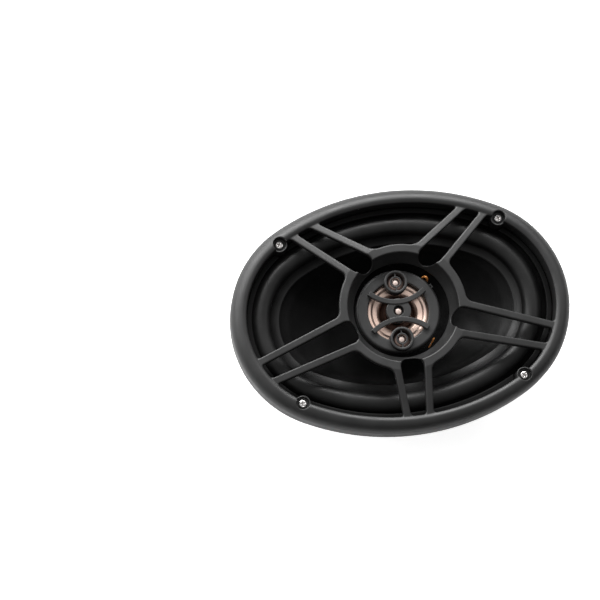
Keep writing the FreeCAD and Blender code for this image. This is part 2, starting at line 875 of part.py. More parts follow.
def make_motor():
    plate = new_body("front_plate")
    low, high = "frontPlateLow", "cupFloor - sheet"
    inner, outer = "frontPlateInner", "frontPlateOuter"
    turn(plate, [(inner, low), (outer, low), (outer, high), (inner, high)])
    pocket(plate, draw_circles(rivet_places(), "rivetShank + slip"), f"{low} - 1", f"{high} + 1")
    tube("ferrite_magnet", "magnetInner", "magnetOuter", "magnetLow", "frontPlateLow")
    seat = "yokeLow + nutInset + nutTall"
    corners = [
        ("counterbore", "yokeLow"),
        ("frontPlateOuter", "yokeLow"),
        ("frontPlateOuter", "magnetLow"),
        ("poleRadius", "magnetLow"),
        ("poleRadius", "cupFloor - sheet"),
        ("postRadius + slip", "cupFloor - sheet"),
        ("postRadius + slip", seat),
        ("counterbore", seat),
    ]
    turned_body("pole_yoke", corners)
    inner = "magnetOuter + slip"
    outer = f"{inner} + bootWall"
    low = "yokeLow - bootWall"
    corners = [
        ("bootOpening", low),
        (f"{outer} - bootRound", low),
        (outer, f"{low} + bootRound"),
        (outer, "bootTop"),
        (inner, "bootTop"),
        (inner, "yokeLow"),
        ("bootOpening", "yokeLow"),
    ]
    turned_body("magnet_boot", corners, {1: "bootRound"})


def make_basket_rivets():
    pieces = []
    for across, up in rivet_places():
        rivet = doc.addObject("PartDesign::Body", "Rivet")
        corners = [
            ("0", "frontPlateLow + rivetRecess"),
            ("rivetShank", "frontPlateLow + rivetRecess"),
            ("rivetShank", "cupFloor"),
            ("rivetHead", "cupFloor"),
            ("0", "cupFloor + rivetHeadTall"),
        ]
        turn(rivet, corners, {3: "(rivetHead ^ 2 + rivetHeadTall ^ 2) / (2 * rivetHeadTall)"})
        bind(rivet, "Placement.Base.x", across)
        bind(rivet, "Placement.Base.y", up)
        pieces.append(rivet)
    group = doc.addObject("Part::Compound", "BasketRivets")
    group.Links = pieces
    group.Label = "basket_rivets"
    sub_parts["basket_rivets"] = group


def make_post():
    """Hollow post from the pole up to the pod, and the nut that pulls it down into the yoke."""
    low = "yokeLow + postInset"
    corners = [
        ("postBore", low),
        ("postRadius", low),
        ("postRadius", "postTop - postFlangeTall"),
        ("postFlange", "postTop - postFlangeTall"),
        ("postFlange", "postTop"),
        ("postBore", "postTop"),
    ]
    turned_body("tweeter_post", corners)
    nut = new_body("post_nut")

    def draw_nut(sketch):
        reach = "nutAcross / 2 / cos(30)"
        angles = [60 * side for side in range(6)]
        draw_outline(sketch, [(f"{reach} * cos({angle})", f"{reach} * sin({angle})") for angle in angles])
        draw_circle(sketch, "postRadius + slip")
    pad(nut, draw_nut, "yokeLow + nutInset", "yokeLow + nutInset + nutTall")


# ---- pod ----

def seat_on_pod(body, up="0"):
    """Moves a part from the axis onto the pod, which sits a little to one side and turned on its post."""
    bind(body, "Placement.Base.x", f"podShift - ({up}) * sin(podTurn)")
    bind(body, "Placement.Base.y", f"({up}) * cos(podTurn)")
    bind(body, "Placement.Rotation.Angle", "podTurn * 1 deg")


def draw_lug(sketch):
    """Outline of the wire lug that stands out of the housing's side."""
    def spot(along, across):
        return (f"({along}) * cos(lugAngle) - ({across}) * sin(lugAngle)",
                f"({along}) * sin(lugAngle) + ({across}) * cos(lugAngle)")
    start = "podRadius - podWall / 2"
    corners = [
        spot(start, "-lugHalf"),
        spot("lugReach", "-lugHalf"),
        spot("lugReach", "lugHalf"),
        spot(start, "lugHalf"),
    ]
    draw_outline(sketch, corners)


def make_pod_housing():
    inner = "podRadius - podWall"
    corners = [
        ("postBore + slip", "podFloor"),
        ("podFoot", "podFloor"),
        ("podRadius", "podKnee"),
        ("podRadius", "podRim"),
        (inner, "podRim"),
        (inner, "midSeat"),
        (f"{inner} - podLedge", "midSeat"),
        (f"{inner} - podLedge", "podKnee + podEase"),
        ("podFoot - podEase", "podFloor + podWall"),
        ("postBore + slip", "podFloor + podWall"),
    ]
    body = turned_body("pod_housing", corners)
    pad(body, draw_lug, "lugLow", "lugHigh")
    seat_on_pod(body)


def draw_bar(sign):
    """An arched bar that curves over or under the drum."""
    centre = "(barMid + barRadius)"
    outer, inner = "(barRadius + barWidth / 2)", "(barRadius - barWidth / 2)"

    def spot(radius, way):
        ratio = "(barEndX / barRadius)"
        height = f"{sign} * ({centre} - {radius} * sqrt(1 - {ratio} ^ 2))"
        return (f"{way} * {radius} * {ratio}", height)

    def draw(sketch):
        corners = [spot(outer, -1), spot(outer, 1), spot(inner, 1), spot(inner, -1)]
        draw_outline(sketch, corners, {0: f"{sign} * {outer}", 2: f"-{sign} * {inner}"})
    return draw


def cup_places():
    return [("0", "cupOffset"), ("0", "-cupOffset")]


def make_pod_bezel():
    """One moulding: the bezel ring, two arched bars, the drum of the centre tweeter between them and
    the two cups of the super tweeters with their phase rings."""
    body = new_body("pod_bezel")
    inner = "bezelOpening"
    corners = [
        (inner, "podRim"),
        (f"{inner} + bezelLeg", "podRim"),
        (f"{inner} + bezelLeg", "midTop"),
        ("podRadius - podWall - slip", "midTop"),
        ("podRadius - podWall - slip", "podRim"),
        ("podRadius + bezelLap", "podRim"),
        ("podRadius + bezelLap", "bezelSkirt"),
        ("bezelOuter", "bezelSkirt"),
        ("bezelOuter", "bezelTop - bezelRound"),
        ("bezelOuter - bezelRound", "bezelTop"),
        (f"{inner} + bezelEase", "bezelTop"),
        (inner, "bezelTop - bezelEase"),
    ]
    turn(body, corners, {8: "bezelRound"})
    pad(body, draw_circles(cup_places(), "cupOuter"), "cupLow", "cupTop")
    pocket(body, draw_circles(cup_places(), "cupBore"), "cellFloor", "cupTop")
    pad(body, draw_bar(1), "barLow", "barTop")
    pad(body, draw_bar(-1), "barLow", "barTop")
    pad(body, lambda s: draw_circle(s, "drumRadius"), "drumLow", "drumTop")
    pocket(body, lambda s: draw_circle(s, "drumBore"), "drumFloor", "barTop")
    for _, up in cup_places():
        for way in (1, -1):
            low = f"{up} + {way} * (phaseOuter - phaseLap)"
            high = f"{up} + {way} * (cupBore + phaseLap)"
            tab = draw_rectangle("-phaseTab / 2", low, "phaseTab / 2", high)
            pad(body, tab, "phaseLow", "phaseTop - phaseStep")
    pad(body, draw_circles(cup_places(), "phaseOuter"), "phaseLow", "phaseTop")
    pocket(body, draw_circles(cup_places(), "phaseInner"), "phaseLow - phaseStep", "phaseTop")
    seat_on_pod(body)


# ---- midrange driver ----

def make_midrange():
    seat, top = "midSeat", "midTop"
    corners = [
        ("midFlange", seat),
        ("midFlange", top),
        ("midRollOuter", top),
        ("midRollOuter - midSheet", seat),
        ("midNose", "midNoseTop"),
        ("midYokeOuter + slip", "midNoseTop"),
        ("midYokeOuter + slip", "midNoseLow"),
        ("midTail", "midNoseLow"),
        ("midRollOuter + midFilm", f"{seat} - midSheet"),
        ("midRollOuter + 4 * midFilm", seat),
    ]
    chassis = turned_body("mid_chassis", corners)
    edge = "midRollOuter + 4 * midSheet"
    glued = "midRollInner - midGlue"
    over = f"{top} + midRubber"
    corners = [
        (glued, top),
        ("midRollInner + midRubber", top),
        ("midRollOuter - midRubber", top),
        (edge, top),
        (edge, over),
        ("midRollOuter", over),
        ("midRollInner", over),
        (glued, over),
    ]
    roll = "(midRollOuter - midRollInner) / 2"
    arcs = {1: f"-midRollEase * ({roll} - midRubber)", 5: f"midRollEase * {roll}"}
    surround = turned_body("mid_surround", corners, arcs)
    corners = [
        ("midNeck", "midNeckZ"),
        ("midNeck + midFilm", "midNeckZ - midFilm"),
        (f"{glued} + slip", f"{top} - midFilm"),
        ("midRollInner", f"{top} - midFilm"),
        ("midRollInner", top),
        (glued, top),
    ]
    cone = turned_body("mid_cone", corners, {1: "midConeCurve", 5: "-midConeCurve"})
    coil_outer = "midFormer + midCoilWall"
    coil = tube("mid_voice_coil", "midFormer", coil_outer, "midCoilLow", "midNeckZ + midFilm")
    base = "midNeckZ + midCoilWall"
    crown = f"{base} + midCapEdge"
    corners = [
        (coil_outer, base),
        (coil_outer, crown),
        ("midCapWidth", crown),
        ("0", f"{crown} + midCapRise"),
        ("0", f"{base} + midCapRise"),
        ("midCapWidth", base),
    ]
    dome = "(midCapWidth ^ 2 + midCapRise ^ 2) / (2 * midCapRise)"
    cap = turned_body("mid_dust_cap", corners, {2: dome, 4: f"-({dome})"})
    corners = [
        ("0", "midYokeLow"),
        ("midYokeOuter", "midYokeLow"),
        ("midYokeOuter", "midYokeTop"),
        ("midYokeBore", "midYokeTop"),
        ("midYokeBore", "midYokeFloor"),
        ("0", "midYokeFloor"),
    ]
    yoke = turned_body("mid_yoke", corners)
    magnet = tube("mid_magnet", "0", "midMagnet", "midYokeFloor", "midYokeTop - midPlateTall")
    plate = tube("mid_pole_plate", "0", "midPlate", "midYokeTop - midPlateTall", "midYokeTop")
    for body in (chassis, surround, cone, coil, cap, yoke, magnet, plate):
        seat_on_pod(body)


# ---- tweeters ----

def make_tweeter(name, up, radius, base, rise, floor):
    """A dome on its own coil, over a small magnet that stands on the floor of its cell."""
    dome = new_body(f"{name}_dome")
    sphere = f"(({radius}) ^ 2 + ({rise}) ^ 2) / (2 * ({rise}))"
    turn(dome, [("0", base), (radius, base), ("0", f"{base} + {rise}")], {1: sphere})
    coil = tube(f"{name}_coil", f"{radius} - tweeterCoil", radius, f"{base} - tweeterCoilTall", base)
    across = f"{radius} - tweeterCoil - tweeterGap"
    magnet = tube(f"{name}_magnet", "0", across, floor, f"{base} - tweeterMagnetDrop")
    for body in (dome, coil, magnet):
        seat_on_pod(body, up)


def make_reflector(name, up):
    """The bright annulus round a super tweeter's dome."""
    low = "superDomeBase - reflectorDrop"
    inner = "superDome + reflectorGap"
    corners = [
        (inner, low),
        ("cupBore - slip", f"{low} + reflectorRise"),
        ("cupBore - slip", f"{low} + reflectorRise + reflectorOuter"),
        (inner, f"{low} + reflectorInner"),
    ]
    body = turned_body(f"{name}_reflector", corners)
    seat_on_pod(body, up)


def make_tweeters():
    for name, sign in (("upper", 1), ("lower", -1)):
        up = f"{sign} * cupOffset"
        make_tweeter(name, up, "superDome", "superDomeBase", "superDomeTall", "cellFloor")
        make_reflector(name, up)
    make_tweeter("centre", "0", "centreDome", "centreDomeBase", "centreDomeTall", "drumFloor")


# ---- terminals, leads and crossover ----

def make_terminals():
    face = "-bracketFace"
    board = new_body("terminal_board")
    pad(board, draw_rectangle("-boardHalf", f"{face} - boardWall", "boardHalf", face), "boardLow", "boardTop")
    outer = f"{face} - boardWall"
    for name, sign, width in (("positive_tab", 1, "wideTab"), ("negative_tab", -1, "narrowTab")):
        tab = new_body(name)
        left = f"{sign} * tabX - {width} / 2"
        right = f"{sign} * tabX + {width} / 2"
        pad(tab, draw_rectangle(left, f"{outer} - tabWall", right, outer), "tabFoot", "tabHead")
        pad(tab, draw_rectangle(left, f"{outer} - tabReach", right, outer), "tabFoot", "tabFoot + tabWall")
    pieces = []
    for sign in (1, -1):
        rivet = doc.addObject("Part::Cylinder", "TabRivet")
        bind(rivet, "Radius", "tabRivet")
        bind(rivet, "Height", "tabRivetTall")
        bind(rivet, "Placement.Base.x", f"{sign} * tabX")
        bind(rivet, "Placement.Base.y", f"{outer} - tabWall")
        bind(rivet, "Placement.Base.z", "(boardTop + boardLow) / 2")
        rivet.Placement.Rotation = FreeCAD.Rotation(Vector(1, 0, 0), 90)
        pieces.append(rivet)
    group = doc.addObject("Part::Compound", "TabRivets")
    group.Links = pieces
    group.Label = "terminal_rivets"
    sub_parts["terminal_rivets"] = group


# The braid's way from a tab's head to the back of the cone: how far in and how far up, in millimetres.
LEAD_WAY = ((0, 0), (2.5, 6), (12, 8), (22, 9), (29.2, 9.9))


def make_lead(name, sign):
    """Flexible braid from a tab's head, through the side window, to the back of the cone."""
    across = value(f"{sign} * tabX")
    tab = value("-(bracketFace + boardWall + tabWall / 2)")
    head = value("tabHead")
    path = [Vector(across, tab + inward, head + up) for inward, up in LEAD_WAY]
    spline = Part.BSplineCurve()
    spline.interpolate(path)
    profile = Part.Wire(Part.Circle(path[0], spline.tangent(0)[0], value("leadRadius")).toShape())
    shape = Part.Wire(spline.toShape()).makePipeShell([profile], True, False)
    feature = doc.addObject("Part::Feature", name)
    feature.Shape = shape
    feature.Label = name
    sub_parts[name] = feature


def make_capacitors():
    """Two cans that stand against the cup, at an angle round it in degrees."""
    cans = (("mid_capacitor", -50, "largeCapacitor"), ("tweeter_capacitor", -128, "smallCapacitor"))
    for name, angle, radius in cans:
        can = doc.addObject("Part::Cylinder", name)
        bind(can, "Radius", radius)
        bind(can, "Height", "capacitorTall")
        bind(can, "Placement.Base.x", f"capacitorReach * cos({angle})")
        bind(can, "Placement.Base.y", f"capacitorReach * sin({angle})")
        bind(can, "Placement.Base.z", "capacitorTop - capacitorTall")
        can.Label = name
        sub_parts[name] = can


def make_pod_wires():
    """Two short runs of insulated wire that show beside the pod: where each starts and how far it
    sweeps, in degrees."""
    for name, start, sweep in (("upper_pod_wire", 41, 10), ("lower_pod_wire", -59, 16)):
        wire = doc.addObject("Part::Torus", name)
        bind(wire, "Radius1", "wireReach")
        bind(wire, "Radius2", "wireRadius")
        bind(wire, "Angle3", f"{sweep} deg")
        bind(wire, "Placement.Base.z", "wireZ")
        bind(wire, "Placement.Rotation.Angle", f"{start} deg")
        wire.Label = name
        sub_parts[name] = wire


make_grille()
make_grille_screws()
make_basket()
make_basket_rivets()
make_mounting_gasket()
make_front_gasket()
make_surround()
make_woofer_cone()
make_voice_coil()
make_spider()
make_motor()
make_post()
make_pod_housing()
make_pod_bezel()
make_midrange()
make_tweeters()
make_terminals()
make_lead("positive_lead", 1)
make_lead("negative_lead", -1)
make_capacitors()
make_pod_wires()
doc.recompute()

failed = [f"{obj.Name} in {[owner.Label for owner in obj.InList]}" for obj in doc.Objects
          if {"Invalid", "Error"} & set(obj.State)]
if failed:
    raise RuntimeError(f"features that failed: {failed}")
for label, piece in sub_parts.items():
    if piece.Label != label:
        raise RuntimeError(f"{label} came out labelled {piece.Label}")
    if piece.Shape.isNull() or not piece.Shape.isValid() or piece.Shape.Volume <= 0:
        raise RuntimeError(f"{label} has no valid shape")

os.makedirs("parts", exist_ok=True)
for label, piece in sub_parts.items():
    piece.Shape.exportStep(os.path.join("parts", f"{label}.step"))
print(f"{len(sub_parts)} sub-parts written")
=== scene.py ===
"""Looks of the coaxial car speaker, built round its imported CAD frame.

Lengths here are millimetres in the CAD frame and become metres when a mesh is made. The oval is the
CAD's four-arc oval, so most places are given as an inset: the distance inwards from the grille's edge.
"""

import json
import math

import bmesh
import bpy
import numpy as np
from mathutils import Matrix, Vector

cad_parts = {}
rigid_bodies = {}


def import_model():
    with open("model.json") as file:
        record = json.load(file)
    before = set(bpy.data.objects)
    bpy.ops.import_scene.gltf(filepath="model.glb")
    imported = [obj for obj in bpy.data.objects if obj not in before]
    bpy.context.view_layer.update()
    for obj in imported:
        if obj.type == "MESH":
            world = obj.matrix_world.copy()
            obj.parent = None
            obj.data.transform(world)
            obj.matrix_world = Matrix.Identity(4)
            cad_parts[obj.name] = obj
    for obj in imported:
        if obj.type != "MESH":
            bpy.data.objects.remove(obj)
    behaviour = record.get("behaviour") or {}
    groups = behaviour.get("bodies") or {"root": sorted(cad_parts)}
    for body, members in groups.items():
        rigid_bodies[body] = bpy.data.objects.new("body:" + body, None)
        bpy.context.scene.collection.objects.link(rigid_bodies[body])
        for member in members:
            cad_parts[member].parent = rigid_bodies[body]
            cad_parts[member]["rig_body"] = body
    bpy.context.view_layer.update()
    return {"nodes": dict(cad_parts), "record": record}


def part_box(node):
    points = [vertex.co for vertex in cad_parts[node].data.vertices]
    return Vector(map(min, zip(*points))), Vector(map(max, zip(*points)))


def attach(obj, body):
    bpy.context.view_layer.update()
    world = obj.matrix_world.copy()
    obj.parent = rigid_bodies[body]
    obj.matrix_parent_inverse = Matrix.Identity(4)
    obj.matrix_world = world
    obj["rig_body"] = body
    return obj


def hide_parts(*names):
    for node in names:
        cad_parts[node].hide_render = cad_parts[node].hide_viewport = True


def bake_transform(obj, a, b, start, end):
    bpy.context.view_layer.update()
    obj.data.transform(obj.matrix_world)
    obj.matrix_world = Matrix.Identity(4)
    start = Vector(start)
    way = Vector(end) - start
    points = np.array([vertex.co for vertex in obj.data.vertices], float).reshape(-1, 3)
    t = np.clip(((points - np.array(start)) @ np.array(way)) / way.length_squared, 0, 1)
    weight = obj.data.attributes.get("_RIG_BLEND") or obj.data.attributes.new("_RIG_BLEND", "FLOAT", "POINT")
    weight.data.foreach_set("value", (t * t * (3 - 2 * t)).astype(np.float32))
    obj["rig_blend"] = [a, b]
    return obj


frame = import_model()

MM = 0.001
TAU = 2 * math.pi


# ---- places taken from the frame ----

def node_box(name):
    """Lowest and highest corner of a CAD node, in millimetres."""
    low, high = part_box(name)
    return np.array(low) / MM, np.array(high) / MM


def top(name):
    return node_box(name)[1][2]


def bottom(name):
    return node_box(name)[0][2]


def reach(name, axis=0):
    return node_box(name)[1][axis]


END_RADIUS = 77.0
RIM_BELOW_HUB = 6.5
ROLL_RISE = 7.1
CAD_HEAD_RADIUS = 3.1
HALF_LONG = reach("grille")
HALF_WIDE = reach("grille", 1)
END_CENTRE = HALF_LONG - END_RADIUS
SIDE_RADIUS = (HALF_LONG * (HALF_LONG - 2 * END_RADIUS) + HALF_WIDE ** 2) / (2 * (HALF_WIDE - END_RADIUS))
SIDE_CENTRE = SIDE_RADIUS - HALF_WIDE
HUB_TOP = top("grille")
RIM_TOP = HUB_TOP - RIM_BELOW_HUB
RIM_FOOT = bottom("grille")
FLANGE_TOP = top("surround") - ROLL_RISE
SCREW_X = reach("grille_screws") - CAD_HEAD_RADIUS
SCREW_Y = reach("grille_screws", 1) - CAD_HEAD_RADIUS
SCREW_TOP = top("grille_screws")
LANDING = bottom("spider")
POD_TOP = top("pod_bezel")


def centre_of(name):
    low, high = node_box(name)
    return (low + high)[:2] / 2


POD_CENTRE = (centre_of("upper_dome") + centre_of("lower_dome")) / 2
POD_AXIS = centre_of("upper_dome") - centre_of("lower_dome")
POD_TURN = math.atan2(-POD_AXIS[0], POD_AXIS[1])
POD_COS, POD_SIN = math.cos(POD_TURN), math.sin(POD_TURN)


def on_pod(across, up):
    """A place on the pod, which sits a little to one side and turned, in the frame's coordinates."""
    x = POD_CENTRE[0] + across * POD_COS - up * POD_SIN
    y = POD_CENTRE[1] + across * POD_SIN + up * POD_COS
    return x, y


def from_pod(x, y):
    """A place of the frame as seen from the pod's centre and turn."""
    x, y = x - POD_CENTRE[0], y - POD_CENTRE[1]
    return x * POD_COS + y * POD_SIN, y * POD_COS - x * POD_SIN


def oval_inset(x, y):
    """Distance inwards from the grille's outer oval."""
    ax, ay = np.abs(x), np.abs(y)
    at_end = ax * SIDE_CENTRE > (ay + SIDE_CENTRE) * END_CENTRE
    from_end = END_RADIUS - np.hypot(ax - END_CENTRE, y)
    from_side = SIDE_RADIUS - np.hypot(x, ay + SIDE_CENTRE)
    return np.where(at_end, from_end, from_side)


def oval_points(inset, count):
    """Points round the oval at an inset, and the outward normals there."""
    turn = math.atan2(SIDE_CENTRE, END_CENTRE)
    share = np.arange(count) / count
    end_length, side_length = turn * END_RADIUS, (math.pi / 2 - turn) * SIDE_RADIUS
    quarter = end_length + side_length
    along = share * 4 * quarter
    lap, rest = np.divmod(along, 2 * quarter)
    mirrored = rest > quarter
    rest = np.where(mirrored, 2 * quarter - rest, rest)
    angle = np.where(rest < end_length, rest / END_RADIUS, turn + (rest - end_length) / SIDE_RADIUS)
    on_end = rest < end_length
    x = np.where(on_end, END_CENTRE, 0) + np.where(on_end, END_RADIUS, SIDE_RADIUS) * np.cos(angle)
    y = np.where(on_end, 0, -SIDE_CENTRE) + np.where(on_end, END_RADIUS, SIDE_RADIUS) * np.sin(angle)
    normal = np.stack([np.cos(angle) * np.where(mirrored, -1, 1), np.sin(angle)], 1)
    spot = np.stack([x * np.where(mirrored, -1, 1), y], 1) - inset * normal
    flip = np.where(lap[:, None] > 0, -1, 1)
    return spot * flip, normal * flip


CONE_SHIFT = -2.0
SHIFT_START = 15.6
SHIFT_RUN = 1.2


def shifted_oval(inset, count):
    """Points round the oval at an inset. The cone and its surround sit a little to one side of the grille."""
    spots, _ = oval_points(inset, count)
    return spots + (CONE_SHIFT * min(max((inset - SHIFT_START) / SHIFT_RUN, 0), 1), 0)


# ---- meshes ----

def add_mesh(name, points, faces):
    """A smoothly shaded object from points in millimetres."""
    mesh = bpy.data.meshes.new(name)
    mesh.from_pydata((np.asarray(points, float) * MM).tolist(), [], [list(map(int, face)) for face in faces])
    mesh.validate()
    mesh.update()
    mesh.shade_smooth()
    obj = bpy.data.objects.new(name, mesh)
    bpy.context.scene.collection.objects.link(obj)
    return obj


def grid_faces(rows, columns, close_rows=False):
    """Quads of a grid of points stored row by row, each row a closed loop."""
    faces = []
    for row in range(rows if close_rows else rows - 1):
        after = (row + 1) % rows
        for column in range(columns):
            beside = (column + 1) % columns
            faces.append((row * columns + column, row * columns + beside,
                          after * columns + beside, after * columns + column))
    return faces


def outward(obj):
    """Turns every face to look outwards."""
    work = bmesh.new()
    work.from_mesh(obj.data)
    bmesh.ops.remove_doubles(work, verts=work.verts, dist=1e-7)
    bmesh.ops.recalc_face_normals(work, faces=work.faces)
    work.to_mesh(obj.data)
    work.free()
    return obj


def eased(profile, radius, steps=4, edge_share=2.2, least=0.02):
    """The closed profile with each corner replaced by a small curve, except on the axis."""
    corners = [np.array(corner, float) for corner in profile]
    result = []
    for index, corner in enumerate(corners):
        before = corners[index - 1] - corner
        after = corners[(index + 1) % len(corners)] - corner
        room = min(np.linalg.norm(before), np.linalg.norm(after)) / edge_share
        size = min(radius, room)
        if size < least or corner[0] < 1e-6:
            result.append(corner)
            continue
        start = corner + before / np.linalg.norm(before) * size
        stop = corner + after / np.linalg.norm(after) * size
        for step in range(steps + 1):
            share = step / steps
            result.append((1 - share) ** 2 * start + 2 * share * (1 - share) * corner + share ** 2 * stop)
    return result


def lathe(name, profile, segments=128, place=(0, 0), easing=0.25):
    """A closed (radius, height) profile turned about the Z axis."""
    outline = eased(profile, easing) if easing else [np.array(corner, float) for corner in profile]
    angles = np.arange(segments) * TAU / segments
    rows = [np.stack([radius * np.cos(angles) + place[0], radius * np.sin(angles) + place[1],
                      np.full(segments, height)], 1) for radius, height in outline]
    obj = add_mesh(name, np.concatenate(rows), grid_faces(len(rows), segments, close_rows=True))
    return outward(obj)


def oval_ring(name, profile, count=360, easing=0.2):
    """A closed (inset, height) profile carried round the oval."""
    outline = eased(profile, easing) if easing else [np.array(corner, float) for corner in profile]
    rows = []
    for inset, height in outline:
        spots = shifted_oval(inset, count)
        rows.append(np.column_stack([spots, np.full(count, height)]))
    return outward(add_mesh(name, np.concatenate(rows), grid_faces(len(rows), count, close_rows=True)))


def arc(centre, radius, start, stop, steps):
    """Points on an arc in a profile, angles in degrees."""
    angles = np.radians(np.linspace(start, stop, steps + 1))
    return [(centre[0] + radius[0] * math.cos(a), centre[1] + radius[1] * math.sin(a)) for a in angles]


# ---- solids from fields: negative inside, in millimetres ----

def meet(first, second, easing):
    """Both fields at once, with a rounded edge where they cross."""
    over = np.hypot(np.maximum(first + easing, 0), np.maximum(second + easing, 0))
    return np.minimum(np.maximum(first, second), -easing) + over


def remove(first, second, easing):
    return meet(first, -second, easing)


def join(first, second, easing):
    """Either field, with a fillet where they meet."""
    share = np.clip(0.5 + 0.5 * (second - first) / easing, 0, 1)
    return second + (first - second) * share - easing * share * (1 - share)


def bar(x, y, start, stop, half):
    """A flat strip between two points, round-ended."""
    run = np.subtract(stop, start)
    share = np.clip(((x - start[0]) * run[0] + (y - start[1]) * run[1]) / (run @ run), 0, 1)
    return np.hypot(x - start[0] - share * run[0], y - start[1] - share * run[1]) - half


def slab(z, low, high):
    return np.maximum(low - z, z - high)


def net_points(values, low, step):
    """Points and quads of the surface where a sampled field changes sign."""
    inside = values < 0
    cells = [size - 1 for size in values.shape]
    offsets = np.array([(i, j, k) for i in (0, 1) for j in (0, 1) for k in (0, 1)])
    count = np.zeros(cells, np.int8)
    for i, j, k in offsets:
        count += inside[i:cells[0] + i, j:cells[1] + j, k:cells[2] + k]
    active = (count > 0) & (count < 8)
    spots = np.argwhere(active)
    number = np.full(active.shape, -1, np.int64)
    number[active] = np.arange(len(spots))
    corners = np.stack([values[tuple((spots + offset).T)] for offset in offsets], 1)
    total = np.zeros((len(spots), 3))
    hits = np.zeros(len(spots))
    for a in range(8):
        for b in range(a + 1, 8):
            if np.abs(offsets[a] - offsets[b]).sum() != 1:
                continue
            crosses = (corners[:, a] < 0) != (corners[:, b] < 0)
            share = corners[crosses, a] / (corners[crosses, a] - corners[crosses, b])
            total[crosses] += offsets[a] + share[:, None] * (offsets[b] - offsets[a])
            hits[crosses] += 1
    points = low + step * (spots + total / hits[:, None])
    quads = []
    for axis in range(3):
        first = np.take(inside, range(values.shape[axis] - 1), axis)
        second = np.take(inside, range(1, values.shape[axis]), axis)
        edges = np.argwhere(first != second)
        across, up = (axis + 1) % 3, (axis + 2) % 3
        fits = (edges[:, across] > 0) & (edges[:, up] > 0)
        fits &= (edges[:, across] < cells[across]) & (edges[:, up] < cells[up])
        edges = edges[fits]
        ring = []
        for a, b in ((1, 1), (0, 1), (0, 0), (1, 0)):
            cell = edges.copy()
            cell[:, across] -= a
            cell[:, up] -= b
            ring.append(number[tuple(cell.T)])
        ring = np.stack(ring, 1)
        backwards = ~first[tuple(edges.T)]
        ring[backwards] = ring[backwards][:, ::-1]
        quads.append(ring)
    return points, np.concatenate(quads)


def field_mesh(name, field, low, high, step, pulls=3, least_slope=0.2):
    """A mesh of the space where field(x, y, z) is negative, its points drawn onto the surface."""
    low, high = np.array(low, float) - step, np.array(high, float) + step
    x, y, z = [np.arange(low[axis], high[axis] + step, step) for axis in range(3)]
    grid_x, grid_y = np.meshgrid(x, y, indexing="ij")
    values = np.stack([field(grid_x, grid_y, height).astype(np.float32) for height in z], 2)
    points, quads = net_points(values, low, step)
    nudge = step / 20
    for _ in range(pulls):
        here = field(*points.T)
        slope = np.stack([field(*(points + nudge * way).T) - here for way in np.eye(3)], 1) / nudge
        size = np.maximum((slope ** 2).sum(1), least_slope)
        move = np.clip(here / size, -step / 2, step / 2)
        points = points - move[:, None] * slope
    return add_mesh(name, points, quads)


# ---- materials ----

def new_material(name):
    material = bpy.data.materials.new(name)
    material.use_nodes = True
    tree = material.node_tree
    return material, tree, tree.nodes["Principled BSDF"]


def noise(tree, scale, detail):
    """Noise in object space. scale is in cells per metre."""
    place = tree.nodes.new("ShaderNodeTexCoord")
    texture = tree.nodes.new("ShaderNodeTexNoise")
    texture.inputs["Scale"].default_value = scale
    texture.inputs["Detail"].default_value = detail
    tree.links.new(place.outputs["Object"], texture.inputs["Vector"])
    return texture.outputs["Fac"]


def spread(tree, value, low, high, start=0.35, stop=0.65):
    """Maps a value onto a range."""
    node = tree.nodes.new("ShaderNodeMapRange")
    for socket, number in (("From Min", start), ("From Max", stop), ("To Min", low), ("To Max", high)):
        node.inputs[socket].default_value = number
    tree.links.new(value, node.inputs["Value"])
    return node.outputs["Result"]


def mixed(tree, value, first, second):
    """A colour between two, chosen by a value."""
    node = tree.nodes.new("ShaderNodeMix")
    node.data_type = "RGBA"
    node.inputs["A"].default_value = (*first, 1)
    node.inputs["B"].default_value = (*second, 1)
    tree.links.new(value, node.inputs["Factor"])
    return node.outputs["Result"]


def add_bump(tree, shader, value, depth):
    """Bump of a depth in millimetres."""
    node = tree.nodes.new("ShaderNodeBump")
    node.inputs["Distance"].default_value = depth * MM
    node.inputs["Strength"].default_value = 1.0
    tree.links.new(value, node.inputs["Height"])
    tree.links.new(node.outputs["Normal"], shader.inputs["Normal"])


PATCHES = 60


def surface(name, colour, second, roughness, grain, depth, metallic=0.0, specular=0.5):
    """Colour and roughness that vary in soft patches, under a fine grain. grain is in cells per metre."""
    material, tree, shader = new_material(name)
    soft = noise(tree, PATCHES, 4)
    fine = noise(tree, grain, 2)
    tree.links.new(mixed(tree, spread(tree, soft, 0, 1), colour, second), shader.inputs["Base Color"])
    tree.links.new(spread(tree, soft, roughness[0], roughness[1]), shader.inputs["Roughness"])
    shader.inputs["Metallic"].default_value = metallic
    shader.inputs["Specular IOR Level"].default_value = specular
    add_bump(tree, shader, fine, depth)
    return material


def grey(level, warm=0.0):
    return (level * (1 + warm), level, level * (1 - warm / 2))


METAL = {"metallic": 1.0}
